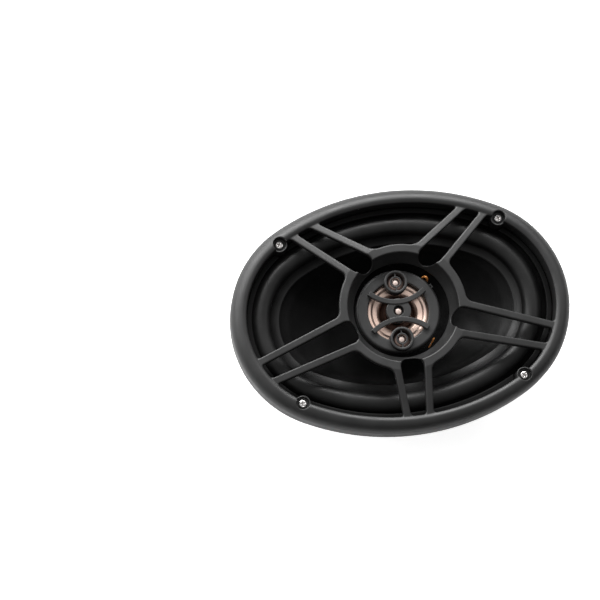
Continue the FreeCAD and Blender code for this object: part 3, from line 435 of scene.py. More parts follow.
# each look: colour, second colour, range of roughness, grain per metre, depth of the grain, the rest
LOOKS = {
    "grille_plastic": (grey(0.008), grey(0.012), (0.42, 0.5), 2600, 0.03, {}),
    "pod_plastic": (grey(0.011), grey(0.015), (0.4, 0.48), 3000, 0.02, {}),
    "surround_rubber": (grey(0.003), grey(0.005), (0.38, 0.5), 900, 0.02, {"specular": 0.3}),
    "gasket_rubber": (grey(0.002), grey(0.003), (0.5, 0.62), 1400, 0.03, {"specular": 0.12}),
    "boot_rubber": (grey(0.014), grey(0.022), (0.42, 0.58), 1200, 0.03, {}),
    "cone_poly": (grey(0.002), grey(0.003), (0.36, 0.44), 700, 0.03, {"specular": 0.13}),
    "black_steel": (grey(0.016), grey(0.022), (0.34, 0.46), 1500, 0.03, {}),
    "foam": (grey(0.014), grey(0.03), (0.85, 0.95), 1800, 0.25, {}),
    "motor_steel": (grey(0.26), grey(0.33), (0.32, 0.44), 900, 0.01, METAL),
    "ferrite": (grey(0.035), grey(0.055), (0.5, 0.7), 1500, 0.04, {"metallic": 0.4}),
    "zinc_screw": (grey(0.62, 0.02), grey(0.72, 0.04), (0.2, 0.34), 1600, 0.01, METAL),
    "neodymium": (grey(0.55), grey(0.6), (0.18, 0.26), 900, 0.005, METAL),
    "rose_metal": ((0.84, 0.68, 0.61), (0.90, 0.74, 0.67), (0.26, 0.34), 700, 0.004, METAL),
    # reflector_foil is the rose metal darkened as painted shade for the cup foils, which sit in shade, and
    # made a little rougher.
    "reflector_foil": ((0.30, 0.21, 0.18), (0.40, 0.29, 0.25), (0.3, 0.42), 700, 0.004, METAL),
    "rose_film": ((0.93, 0.68, 0.57), (0.97, 0.74, 0.63), (0.26, 0.36), 400, 0.01, {"metallic": 0.85}),
    "board_fibre": ((0.10, 0.055, 0.03), (0.16, 0.09, 0.05), (0.45, 0.6), 1200, 0.03, {}),
    "tinned_brass": (grey(0.62, 0.1), grey(0.5, 0.16), (0.25, 0.38), 900, 0.01, METAL),
    "copper_braid": ((0.52, 0.27, 0.16), (0.66, 0.36, 0.22), (0.3, 0.45), 2500, 0.1, METAL),
    "copper_wire": ((0.46, 0.17, 0.07), (0.6, 0.24, 0.1), (0.2, 0.32), 900, 0.02, METAL),
    "capacitor_sleeve": ((0.012, 0.02, 0.08), (0.018, 0.03, 0.11), (0.2, 0.3), 500, 0.02, {}),
    "wire_insulation": ((0.62, 0.24, 0.06), (0.72, 0.3, 0.09), (0.3, 0.4), 700, 0.02, {}),
    "former_aluminium": (grey(0.6), grey(0.68), (0.22, 0.36), 900, 0.01, METAL),
    "spider_cloth": ((0.36, 0.25, 0.07), (0.48, 0.35, 0.12), (0.75, 0.9), 2000, 0.15, {}),
}
MATERIALS = {name: surface(name, *look[:-1], **look[-1]) for name, look in LOOKS.items()}


def vector_math(tree, operation, value, second=None):
    node = tree.nodes.new("ShaderNodeVectorMath")
    node.operation = operation
    if second is not None:
        node.inputs[1].default_value = second
    tree.links.new(value, node.inputs[0])
    return node.outputs["Vector" if operation in ("SUBTRACT", "MULTIPLY") else "Value"]


# Painted shade for the mid cone's throat: its radius, the width of its soft edge and its dark brown colour.
SHADE_RADIUS = 13.0
SHADE_EASE = 0.7
THROAT_SHADE_COLOUR = (0.16, 0.09, 0.07)


def paint_throat_shade(material):
    """Painted shade round the pod's axis: the film's colour turns dark brown inside the throat's radius,
    where the throat lies in shade.
    """
    tree = material.node_tree
    shader = tree.nodes["Principled BSDF"]
    place = tree.nodes.new("ShaderNodeTexCoord").outputs["Object"]
    place = vector_math(tree, "SUBTRACT", place, (*(POD_CENTRE * MM), 0))
    radius = vector_math(tree, "LENGTH", vector_math(tree, "MULTIPLY", place, (1, 1, 0)))
    edges = (SHADE_RADIUS - SHADE_EASE) * MM, (SHADE_RADIUS + SHADE_EASE) * MM
    share = spread(tree, radius, 0, 1, *edges)
    plain = shader.inputs["Base Color"].links[0].from_socket
    blend = mixed(tree, share, THROAT_SHADE_COLOUR, THROAT_SHADE_COLOUR)
    tree.links.new(plain, blend.node.inputs["B"])
    tree.links.new(blend, shader.inputs["Base Color"])


# The rose film gets its painted throat shade.
paint_throat_shade(MATERIALS["rose_film"])

node_body = {obj.name: obj["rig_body"] for obj in frame["nodes"].values()}
node_slot = {part["node"]: part["material_slot"] for part in frame["record"]["subparts"]}


def stand_for(obj, node):
    """obj replaces a CAD node: it wears the node's material and rides with it, unless it bends."""
    obj.data.materials.clear()
    obj.data.materials.append(MATERIALS[node_slot[node]])
    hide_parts(node)
    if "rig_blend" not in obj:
        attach(obj, node_body[node])


def shape_node(node, name, field, step, rough=None):
    low, high = node_box(node)
    stand_for(field_mesh(name, field, low, high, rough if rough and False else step), node)


# ---- grille ----

RIM_BAND = 11.0
RIM_ROUND = 8.6
RIM_LAND_TOP = RIM_TOP - 1.2
RIM_WALL = 2.5
RIM_INNER_WALL = 2.4
CROWN_START = 7.8
CROWN = 0.12
CAVITY_TOP = RIM_TOP - 6
BOSS_RADIUS = 5.7
BOSS_TOP = SCREW_TOP + 0.6
RECESS = 4.6
HEAD_TALL = 2.4
SCREW_SEAT = SCREW_TOP - HEAD_TALL
SCREW_HOLE = 2.2
HUB_INNER = 39.4
HUB_OUTER = 45.4
WEB_DEPTH = 5.0
WEB_START = 9.3
WEB_EDGE = 0.9
HUB_FILLET = 4.5
RIM_FILLET = 2.5
COLLAR_INNER = 33.8
COLLAR_TALL = 13
COLLAR_FOOT = HUB_TOP - COLLAR_TALL
COLLAR_WALL = 1.8
COLLAR_CURVE = 1.35
COLLAR_FLOOR = 1.1
SPOKE_HALF = 2.6
SPOKE_OVERLAP = (8, 1.5)
SPOKES = (
    ((50.9, 66.0), (17.6, 41.8)),
    ((67.0, 60.0), (35.1, 29.9)),
    ((104.4, -25.0), (44.1, -3.4)),
    ((95.8, -39.6), (38.3, -24.1)),
    ((8.15, -76.0), (11.0, -42.4)),
)
NOTCH_END = 35.8
NOTCH_ROUND = 8.0
NOTCH_REACH = 56
PAIR_ANGLES = (54, -18)


def dish(inset, radius):
    """Height of the web's top face between the rim and the hub."""
    low = RIM_LAND_TOP - 0.1
    from_rim = np.maximum(inset - 9, 0)
    from_hub = np.maximum(radius - HUB_OUTER, 0)
    return low + (HUB_TOP - low) * from_rim / (from_rim + from_hub + 1e-6)


def beyond_flank(x, y, spoke, towards):
    """Distance out of a spoke through its flank on the side of a place."""
    rim_end, hub_end = np.array(spoke[0]), np.array(spoke[1])
    way = (hub_end - rim_end) / np.linalg.norm(hub_end - rim_end)
    side = np.array([-way[1], way[0]])
    side = side * np.sign(side @ (np.array(towards) - hub_end))
    return (x - rim_end[0]) * side[0] + (y - rim_end[1]) * side[1] - SPOKE_HALF


def notch_plan(x, y):
    """The five openings between the spokes of a pair: each runs on from the spokes' flanks, through the hub,
    to a round end in the collar."""
    across, radius = np.abs(x), np.hypot(x, y)
    result = np.full(np.shape(x + y), 1e3)
    for (first, second), arm in zip(((0, 1), (2, 3)), PAIR_ANGLES):
        left = beyond_flank(across, y, SPOKES[first], SPOKES[second][1])
        right = beyond_flank(across, y, SPOKES[second], SPOKES[first][1])
        along = across * math.cos(math.radians(arm)) + y * math.sin(math.radians(arm))
        result = np.minimum(result, meet(meet(-left, -right, 0.5), NOTCH_END - along, NOTCH_ROUND))
    right = beyond_flank(across, y, SPOKES[4], (0, SPOKES[4][1][1]))
    middle = meet(-right, NOTCH_END + y, NOTCH_ROUND)
    return np.maximum(np.minimum(result, middle), radius - NOTCH_REACH)


def spokes_plan(x, y):
    result = np.full(np.shape(x + y), 1e3)
    for rim_end, hub_end in SPOKES:
        rim_end, hub_end = np.array(rim_end), np.array(hub_end)
        way = (hub_end - rim_end) / np.linalg.norm(hub_end - rim_end)
        start, stop = rim_end - SPOKE_OVERLAP[0] * way, hub_end + SPOKE_OVERLAP[1] * way
        result = np.minimum(result, bar(np.abs(x), y, start, stop, SPOKE_HALF))
    return result


def at_screws(x, y, spread_x=SCREW_X, spread_y=SCREW_Y):
    """Distance to the nearest of four places set out in a rectangle."""
    return np.hypot(np.abs(x) - spread_x, np.abs(y) - spread_y)


def rim_field(inset, z):
    """One smooth rounded band over a hollow underside."""
    section = meet(-inset, z - RIM_TOP + CROWN * np.maximum(inset - CROWN_START, 0) ** 2, RIM_ROUND)
    section = meet(section, inset - RIM_BAND, 0.7)
    section = meet(section, RIM_FOOT - z, 0.5)
    hollow = meet(np.maximum(RIM_WALL - inset, inset - (RIM_BAND - RIM_INNER_WALL)), z - CAVITY_TOP, 1.5)
    section = remove(section, hollow, 0.3)
    lip = np.maximum(RIM_WALL - inset, z - FLANGE_TOP)
    return remove(section, lip, 0.3)


def grille_field(x, y, z):
    """The rim with its screw bosses, the web of spokes and hub, and the collar under the hub."""
    inset, radius = oval_inset(x, y), np.hypot(x, y)
    screws = at_screws(x, y)
    boss = meet(screws - BOSS_RADIUS, slab(z, FLANGE_TOP, BOSS_TOP), 0.5)
    solid = join(rim_field(inset, z), boss, 0.8)
    notch = notch_plan(x, y)
    plan = join(spokes_plan(x, y), slab(radius, HUB_INNER, HUB_OUTER), HUB_FILLET)
    plan = join(plan, inset - RIM_BAND, RIM_FILLET)
    plan = remove(plan, notch, 0.5)
    plan = np.maximum(np.maximum(plan, WEB_START - inset), HUB_INNER - radius)
    height = dish(inset, radius)
    web = meet(meet(plan, z - height, WEB_EDGE), height - WEB_DEPTH - z, 0.5)
    down = np.clip((HUB_TOP - z) / COLLAR_TALL, 0, 1)
    inner = HUB_INNER - (HUB_INNER - COLLAR_INNER) * down ** COLLAR_CURVE
    lean = 0.92
    collar = meet((inner - radius) * lean, (radius - inner - COLLAR_WALL) * lean, 0.4)
    collar = meet(collar, slab(z, COLLAR_FOOT, HUB_TOP), 0.7)
    collar = remove(collar, np.maximum(notch, COLLAR_FOOT + COLLAR_FLOOR - z), 0.6)
    solid = join(solid, np.minimum(web, collar), 0.6)
    recess = np.maximum(screws - RECESS, SCREW_SEAT - z)
    return remove(remove(solid, recess, 0.45), screws - SCREW_HOLE, 0.2)


# ---- screws ----

HEAD_RADIUS = 2.8
HEAD_CROWN = 3.4
CROSS_HALF = (0.42, 1.9)
CROSS_TAPER = 0.1925
CROSS_DEEP = 0.75 * HEAD_TALL
THREAD_PITCH = 1.4
THREAD_CORE = 1.35
THREAD_TALL = 0.5
THREAD_FLAT = 0.45
POINT_SLOPE = 0.45


def screw_field(x, y, z):
    """A pan head with a cross recess over a self-tapping thread."""
    radius = np.hypot(x, y)
    head = np.hypot(radius * 0.62, z - SCREW_TOP + HEAD_CROWN) - HEAD_CROWN
    head = meet(meet(head, radius - HEAD_RADIUS, 0.5), SCREW_SEAT - z, 0.15)
    narrow, wide = CROSS_HALF
    upright = np.maximum(np.abs(x) - narrow, np.abs(y) - wide)
    level = np.maximum(np.abs(y) - narrow, np.abs(x) - wide)
    cross = np.minimum(upright, level) + (SCREW_TOP - z) * CROSS_TAPER
    head = remove(head, np.maximum(cross, SCREW_TOP - CROSS_DEEP - z), 0.08)
    tip = bottom("grille_screws")
    wave = np.abs(((z / THREAD_PITCH - np.arctan2(y, x) / TAU) % 1) - 0.5) * 2
    core = radius - THREAD_CORE - THREAD_TALL * np.maximum(wave - THREAD_FLAT, 0) / (1 - THREAD_FLAT)
    point = radius - np.maximum(z - tip, 0) * POINT_SLOPE - 0.1
    shank = meet(np.maximum(core * 0.8, point * 0.9), z - SCREW_SEAT - 0.3, 0.1)
    return np.minimum(head, np.maximum(shank, tip - z))


def make_screws():
    tip, wide = bottom("grille_screws"), 3.2
    one = field_mesh("screw_mesh", screw_field, (-wide, -wide, tip), (wide, wide, SCREW_TOP + 0.1), 0.2)
    points = np.array([vertex.co for vertex in one.data.vertices]) / MM
    faces = np.array([list(face.vertices) for face in one.data.polygons])
    bpy.data.objects.remove(one)
    every_point, every_face = [], []
    turns = (20, -35, 65, 5)
    places = [(sx, sy) for sx in (1, -1) for sy in (1, -1)]
    for index, ((sx, sy), turn) in enumerate(zip(places, turns)):
        spin = np.array(Matrix.Rotation(math.radians(turn), 3, "Z"))
        every_point.append(points @ spin.T + (sx * SCREW_X, sy * SCREW_Y, 0))
        every_face.append(faces + index * len(points))
    obj = add_mesh("rim_screws", np.concatenate(every_point), np.concatenate(every_face))
    stand_for(obj, "grille_screws")


# ---- gaskets, surround and cone ----

ROLL_OUTER = 16.8
ROLL_INNER = 31.1
RUBBER = 0.8
RUBBER_OUTER = 11.6
ATTACH_INNER = 37.1
ATTACH_LIP = (0.5, 0.35)
GASKET_BAND = (11.5, 15.6)
BOSS_CLEAR = 6.0
SLOT_INSET = 13.9
SLOT_RADIUS = 3.9
FOAM_BAND = (5.6, 15.4)
FOAM_TALL = (0.02, 2.9)
RIPPLE_WAVES = (410, 370)
RIPPLE = 0.1 * MM


def gasket_field(x, y, z):
    """A ring, cut by the screw bosses and by a round notch beside each boss."""
    inset = oval_inset(x, y)
    ring = meet(slab(inset, *GASKET_BAND), slab(z, bottom("front_gasket"), top("front_gasket")), 0.6)
    ring = remove(ring, at_screws(x, y) - BOSS_CLEAR, 0.3)
    rise = SCREW_Y + SIDE_CENTRE
    scale = (SIDE_RADIUS - SLOT_INSET) / math.hypot(SCREW_X, rise)
    slots = at_screws(x, y, SCREW_X * scale, rise * scale - SIDE_CENTRE)
    return remove(ring, slots - SLOT_RADIUS, 0.3)


def make_gaskets():
    shape_node("front_gasket", "front_gasket_ring", gasket_field, 0.5)
    (outer, inner), (thin, tall) = FOAM_BAND, FOAM_TALL
    foam = oval_ring("foam_tape", [(outer, -thin), (outer, -tall), (inner, -tall), (inner, -thin)], 420, 0.5)
    for point in foam.data.vertices:
        ripple = math.sin(point.co.x * RIPPLE_WAVES[0]) * math.sin(point.co.y * RIPPLE_WAVES[1])
        point.co.z += RIPPLE * ripple if point.co.z < -MM else 0
    stand_for(foam, "mounting_gasket")


def make_surround():
    """The rubber half-roll. Its outer edge stays with the chassis and its inner edge with the cone."""
    middle = (ROLL_OUTER + ROLL_INNER) / 2
    half = (ROLL_INNER - ROLL_OUTER) / 2
    base = FLANGE_TOP
    crest = top("surround") - base
    over = arc((middle, base + RUBBER), (half, crest - RUBBER), 180, 0, 28)
    under = arc((middle, base), (half - RUBBER, crest - RUBBER), 0, 180, 24)
    profile = [(RUBBER_OUTER, base), (RUBBER_OUTER, base + RUBBER)] + over
    profile += [(ATTACH_INNER - ATTACH_LIP[0], base + RUBBER), (ATTACH_INNER, base + ATTACH_LIP[1])]
    profile += [(ATTACH_INNER, base)] + under
    obj = oval_ring("rubber_surround", profile, 480, 0)
    blend_round(obj, lambda x, y: (oval_inset(x - CONE_SHIFT, y) - ROLL_OUTER) / (ROLL_INNER - ROLL_OUTER))
    stand_for(obj, "surround")


def blend_round(obj, share_at, moving="woofer"):
    """Blends a ring-shaped piece from the chassis at its outer edge to a moving body at its inner edge."""
    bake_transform(obj, "chassis", moving, (0, 0, 0), (0, 0, 1))
    points = np.array([vertex.co for vertex in obj.data.vertices]) / MM
    share = np.clip(share_at(points[:, 0], points[:, 1]), 0, 1)
    weight = share * share * (3 - 2 * share)
    obj.data.attributes["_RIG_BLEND"].data.foreach_set("value", weight.astype(np.float32))


CONE_COUNT = 480
CONE_WALL = 0.9
CONE_EDGE = 31.7
NECK_RADIUS = 19.6
BOW = 0.035
STEP_SHARE = 0.12
STEP_WIDE = 0.03
STEP_TALL = 0.25


def cone_loop(share, lift):
    """One loop of the cone, part of the way from its edge to its neck."""
    _, normals = oval_points(0, CONE_COUNT)
    spots = shifted_oval(ATTACH_INNER + 0.1, CONE_COUNT)
    edge, neck = FLANGE_TOP - 0.6, bottom("woofer_cone") + CONE_WALL
    bow = BOW * math.sin(math.pi * share)
    flat = spots + (NECK_RADIUS * normals - spots) * (share - bow)
    return np.column_stack([flat, np.full(CONE_COUNT, edge + (neck - edge) * (share + bow) + lift)])


def flat_loop(inset, height):
    return np.column_stack([shifted_oval(inset, CONE_COUNT), np.full(CONE_COUNT, height)])


def make_cone():
    """Gently curved cone from the oval edge to the round neck, with a stiffening step near its edge."""
    shares = np.linspace(0.01, 1, 40)
    loops = [flat_loop(inset, FLANGE_TOP - 0.05) for inset in (CONE_EDGE, ATTACH_INNER - 0.4)]
    lifts = STEP_TALL * np.exp(-((shares - STEP_SHARE) / STEP_WIDE) ** 2)
    loops += [cone_loop(share, lift) for share, lift in zip(shares, lifts)]
    loops += [cone_loop(share, -CONE_WALL) for share in shares[::-1]]
    loops.append(flat_loop(CONE_EDGE, FLANGE_TOP - 0.85))
    obj = add_mesh("cone_body", np.concatenate(loops), grid_faces(len(loops), CONE_COUNT, close_rows=True))
    stand_for(outward(obj), "woofer_cone")


SPIDER_BAND = (19.6, 49.5)
WAVES_BAND = (22, 45.5)
WAVES_EASE = 1.5
WAVE_LONG = 4.6
WAVE_TALL = 1.1
CLOTH = 0.45


def make_spider():
    """Corrugated cloth, blended between the landing and the former."""
    first, last = WAVES_BAND
    radii = np.linspace(*SPIDER_BAND, 90)
    inside = np.clip((radii - first) / WAVES_EASE, 0, 1) * np.clip((last - radii) / WAVES_EASE, 0, 1)
    heights = LANDING + 0.5 + inside * WAVE_TALL * (1 - np.cos((radii - first) * TAU / WAVE_LONG))
    profile = list(zip(radii, heights)) + [(r, h - CLOTH) for r, h in zip(radii[::-1], heights[::-1])]
    obj = lathe("spider_disc", profile, 160, easing=0)
    blend_round(obj, lambda x, y: (last - np.hypot(x, y)) / (last - first))
    stand_for(obj, "spider")


# ---- pod ----

BEZEL_TOP = POD_TOP - 4.2
BEZEL_OPENING = 21.8
BEZEL_OUTER = 30.0
SKIRT = (28.4, 7.4)
CUP_Y = 20.6
CUP_RADIUS = 8.5
CUP_BORE = 6.15
CUP_FLARE = 0.12
CUP_FOOT = 6.7
CELL_FLOOR = 8.0
FLARE_START = 11
BAR_TOP = POD_TOP - 1.2
BAR_FOOT = 9.3
BAR_HALF = 1.75
BAR_RADIUS = 29.5
BAR_CENTRE = 35.9
BAR_SWEEP = math.asin(19.8 / BAR_RADIUS)
DRUM_TOP = POD_TOP - 2.1
DRUM_RADIUS = 8.9
MOUTH = 3.65
PHASE_RING = (3.07, 4.23)
PHASE_TABS = (3.7, 6.5, 0.6)
PHASE_BAND = (12.4, 13.3)
LUG_ANGLE = math.radians(34)
LUG_REACH = (27.9, 32.6)
LUG_BAND = (2.8, 3.6)
LUG_HALF = 1.6
LUG_EYE = (31.2, 0.6)


def bezel_field(x, y, z):
    """The pod's face: a ring, two arched bars, a drum, and two cups with a phase ring in each."""
    x, y = from_pod(x, y)
    radius = np.hypot(x, y)
    ring = meet(radius - BEZEL_OUTER, z - BEZEL_TOP, 2.0)
    ring = meet(ring, BEZEL_OPENING - radius, 0.7)
    ring = meet(ring, bottom("pod_bezel") - z, 0.4)
    ring = remove(ring, meet(radius - SKIRT[0], z - SKIRT[1], 0.6), 0.2)
    cup = np.hypot(x, np.abs(y) - CUP_Y)
    cups = meet(cup - CUP_RADIUS, slab(z, CUP_FOOT, POD_TOP), 0.8)
    beside = BAR_CENTRE - np.abs(y)
    bars = np.abs(np.hypot(x, beside) - BAR_RADIUS) - BAR_HALF
    ends = np.abs(x) * math.cos(BAR_SWEEP) - beside * math.sin(BAR_SWEEP)
    bars = np.maximum(meet(meet(bars, ends, 0.2), z - BAR_TOP, 0.35), BAR_FOOT - z)
    drum = meet(radius - DRUM_RADIUS, slab(z, CUP_FOOT, DRUM_TOP), 0.5)
    solid = np.minimum(np.minimum(ring, bars), np.minimum(drum, cups))
    bore = np.maximum(cup - CUP_BORE - CUP_FLARE * np.maximum(z - FLARE_START, 0), CELL_FLOOR - z)
    solid = remove(remove(solid, bore, 0.4), np.maximum(radius - MOUTH, CELL_FLOOR - z), 0.25)
    tabs = np.maximum(np.abs(x) - PHASE_TABS[2], slab(cup, PHASE_TABS[0], PHASE_TABS[1]))
    phase = meet(join(slab(cup, *PHASE_RING), tabs, 0.3), slab(z, *PHASE_BAND), 0.25)
    return np.minimum(solid, phase)


def lug_field(x, y, z):
    """A small flat lug with an eye, on the pod's side."""
    x, y = from_pod(x, y)
    along = x * math.cos(LUG_ANGLE) + y * math.sin(LUG_ANGLE)
    across = y * math.cos(LUG_ANGLE) - x * math.sin(LUG_ANGLE)
    plate = meet(np.abs(across) - LUG_HALF, slab(along, *LUG_REACH), 0.6)
    plate = meet(plate, slab(z, *LUG_BAND), 0.15)
    return remove(plate, np.hypot(along - LUG_EYE[0], across) - LUG_EYE[1], 0.1)


def make_pod():
    shape_node("pod_bezel", "pod_face", bezel_field, 0.26, 0.5)
    housing = [(2.2, -14), (16, -14), (28.2, -2), (28.2, 7.3), (26.9, 7.3), (26.9, 2.6), (24.8, 2.6),
               (24.8, -1.3), (15.4, -12.5), (2.2, -12.5)]
    stand_for(lathe("pod_shell", housing, 160, POD_CENTRE, 0.8), "pod_housing")
    middle, half = 30.2, 3.5
    x, y = on_pod(middle * math.cos(LUG_ANGLE), middle * math.sin(LUG_ANGLE))
    low, high = (x - half, y - half, LUG_BAND[0] - 0.2), (x + half, y + half, LUG_BAND[1] + 0.2)
    stand_for(field_mesh("wire_lug", lug_field, low, high, 0.15), "pod_housing")


MID_BAND = (7.6, 17.9)
MID_FLOOR = -2.6
MID_SLOPE = 0.12
MID_RISE = 1.31
THROAT_STEP = (12.7, 0.6)
FILM = 0.4
ROLL_MIDDLE = 20.4
ROLL_BAND = (19.2, 21.6)
RING_OUTER = 23.7
ROLL_FILM = (0.02, 0.3)
CAP_OUTER = 7.5
CAP_ARCS = ((7.2, 2.0), (6.9, 1.7))


def make_midrange():
    """An S-shaped film cone, its small surround and its dust cap."""
    seat = top("mid_cone")
    inner, outer = MID_BAND
    radii = np.linspace(inner, outer, 60)
    throat = 1 / (1 + np.exp((THROAT_STEP[0] - radii) / THROAT_STEP[1]))
    heights = MID_FLOOR + MID_SLOPE * (radii - inner) + (seat + MID_RISE) * throat
    lip = ROLL_BAND[0]
    cone = list(zip(radii, heights)) + [(lip, seat), (lip, seat - 0.35), (outer + 0.2, seat - FILM)]
    cone += [(radius + 0.25, height - FILM) for radius, height in zip(radii[::-1], heights[::-1])]
    stand_for(lathe("mid_cone_film", cone, 160, POD_CENTRE, 0), "mid_cone")
    low, high = seat + ROLL_FILM[0], seat + ROLL_FILM[1]
    roll = [(outer, high), (lip, high)] + arc((ROLL_MIDDLE, high), (1.2, 0.3), 180, 0, 12)
    roll += [(RING_OUTER, high), (RING_OUTER, low), (ROLL_BAND[1], low)]
    roll += arc((ROLL_MIDDLE, low), (1.0, 0.25), 0, 180, 10) + [(outer, low)]
    ring = lathe("mid_roll", roll, 160, POD_CENTRE, 0)
    wide = ROLL_BAND[1] - ROLL_BAND[0]
    blend_round(ring, lambda x, y: (ROLL_BAND[1] - np.hypot(*from_pod(x, y))) / wide, "midrange")
    stand_for(ring, "mid_surround")
    base = bottom("mid_dust_cap")
    cap = [(CAP_OUTER, base), (CAP_OUTER, base + FILM)] + arc((0, base + FILM), CAP_ARCS[0], 0, 90, 14)
    cap += arc((0, base), CAP_ARCS[1], 90, 0, 14)
    stand_for(lathe("mid_cap", cap, 96, POD_CENTRE, 0), "mid_dust_cap")


DOMES = (("upper", CUP_Y, 2.75), ("lower", -CUP_Y, 2.75), ("centre", 0, 2.6))
DOME_LIP = 0.12
FOIL_INNER = 3.0
FOIL_WIDE = 2.9


def make_domes():
    """Three small domes, and the crowned foil round the two outer ones."""
    for name, up, radius in DOMES:
        base = bottom(f"{name}_dome")
        crest = base + 0.5 * (top(f"{name}_dome") - base)
        place = on_pod(0, up)
        profile = [(0, base), (radius, base), (radius, base + DOME_LIP)]
        profile += arc((0, base + DOME_LIP), (radius - DOME_LIP, crest - base - DOME_LIP), 0, 90, 16)
        stand_for(lathe(f"{name}_dome_cap", profile, 64, place, 0), f"{name}_dome")
        if name == "centre":
            continue
        low, outer = bottom(f"{name}_reflector"), FOIL_INNER + FOIL_WIDE
        crowned = [(FOIL_INNER, low + 0.4), (outer, low - 0.4), (outer, low - 0.2)]
        for share in np.linspace(0.95, 0, 12):
            crowned.append((FOIL_INNER + FOIL_WIDE * share, low + 0.8 - share ** 2))
        stand_for(lathe(f"{name}_foil", crowned, 96, place, 0), f"{name}_reflector")


LOBES = 3
LOBE_TURN = 0.9


def tube(name, path, radius, smooth_steps=10, twist=0.0, sides=12):
    """A round tube along a smooth path in millimetres. twist adds braid lobes."""
    path = np.array(path, float)
    fine = []
    for index in range(len(path) - 1):
        before, start = path[max(index - 1, 0)], path[index]
        stop, after = path[index + 1], path[min(index + 2, len(path) - 1)]
        for share in np.arange(smooth_steps) / smooth_steps:
            fine.append(0.5 * (2 * start + (stop - before) * share
                               + (2 * before - 5 * start + 4 * stop - after) * share ** 2
                               + (3 * start - before - 3 * stop + after) * share ** 3))
    fine.append(path[-1])
    fine = np.array(fine)
    ways = np.gradient(fine, axis=0)
    ways /= np.linalg.norm(ways, axis=1)[:, None]
    side = np.cross(ways[0], (0.3, 0.2, 1))
    rings = []
    for index, (spot, way) in enumerate(zip(fine, ways)):
        side = side - way * (side @ way)
        side /= np.linalg.norm(side)
        other = np.cross(way, side)
        angles = np.arange(sides) * TAU / sides
        size = radius * (1 + twist * np.cos(LOBES * angles + index * LOBE_TURN))
        rings.append(spot + np.outer(size * np.cos(angles), side) + np.outer(size * np.sin(angles), other))
    points = np.concatenate(rings + [fine[:1], fine[-1:]])
    faces = grid_faces(len(rings), sides)
    first, last = len(points) - 2, len(points) - 1
    final = (len(rings) - 1) * sides
    for column in range(sides):
        beside = (column + 1) % sides
        faces.append((first, beside, column))
        faces.append((last, final + column, final + beside))
    return outward(add_mesh(name, points, faces))


def round_path(radius_at, start, stop, count, height_at):
    """A path round the pod, angles in degrees."""
    path = []
    for share in np.linspace(0, 1, count):
        angle = math.radians(start + (stop - start) * share)
        radius = radius_at(share)
        path.append((radius * math.cos(angle), radius * math.sin(angle), height_at(share)))
    return path


def make_pod_wires():
    """The upper wire is a loop beside the pod, the lower one dives down beside it."""
    def rise(share):
        return 1.0 + 7.0 * math.sin(math.pi * share) ** 0.6

    def dive(share):
        return 6.8 - 9 * share ** 1.4
    upper = round_path(lambda share: 31.4, 42, 49.5, 7, rise)
    stand_for(tube("upper_wire_loop", upper, 0.75), "upper_pod_wire")
    lower = round_path(lambda share: 30.2 + 1.4 * share, -46.5, -56, 6, dive)
    stand_for(tube("lower_wire_loop", lower, 0.65), "lower_pod_wire")


# ---- basket and motor ----

SHEET = 1.2
BOWL_TALL = FLANGE_TOP - LANDING
BOWL_INSET = 17.1
BOWL_RADIUS = 50.6
FLANGE_BAND = (4.5, 17.6)
WINDOW_START = 24.0
WINDOW_END = 55.0
WINDOW_ROUND = 4
LEG_WAY = (0.80, 0.60)
LEG_HALF = 9.5
LEG_TAPER = 0.05
RIB_TALL = 1.1
RIB_WIDE = 4.0
LANDING_OUTER = 51
MAGNET_CUP = (44.5, 45.7)
MAGNET_OPENING = 22
FLOOR_TOP = LANDING - 12
BRACKET_HALF = 13
SHELF_Y = (-60, -44.8)
BACK_Y = (-60, -58.8)
BACK_TALL = 14


def leg_distance(x, y, sign):
    """Distance to the line of one pair of diagonal legs."""
    return np.abs(LEG_WAY[0] * y - sign * LEG_WAY[1] * x)


def window_plan(inset, radius, x, y):
    """The bowl's openings: between the flange and the landing, clear of four diagonal legs."""
    band = meet(WINDOW_START - inset, WINDOW_END - radius, WINDOW_ROUND)
    legs = np.minimum(leg_distance(x, y, 1), leg_distance(x, y, -1)) - LEG_HALF - LEG_TAPER * radius
    return remove(band, legs, WINDOW_ROUND)


def bowl_field(inset, radius, x, y, z):
    """A pressed sheet that runs from the oval flange to the round landing, with a rib down each leg."""
    deep = np.clip((FLANGE_TOP - z) / BOWL_TALL, 0, 1.04)
    oval_part, round_part = inset - BOWL_INSET, BOWL_RADIUS - radius
    middle = (1 - deep) * oval_part + deep * round_part
    for sign in (1, -1):
        rib = np.exp(-(leg_distance(x, y, sign) / RIB_WIDE) ** 2)
        middle = middle - RIB_TALL * rib * np.clip(deep * (1 - deep) * 6, 0, 1)
    lean = (oval_part - round_part) / BOWL_TALL
    shell = np.abs(middle) / np.sqrt(1 + lean ** 2) - SHEET / 2
    shell = np.maximum(shell, slab(z, LANDING - SHEET, FLANGE_TOP))
    return remove(shell, window_plan(inset, radius, x, y), 0.5)


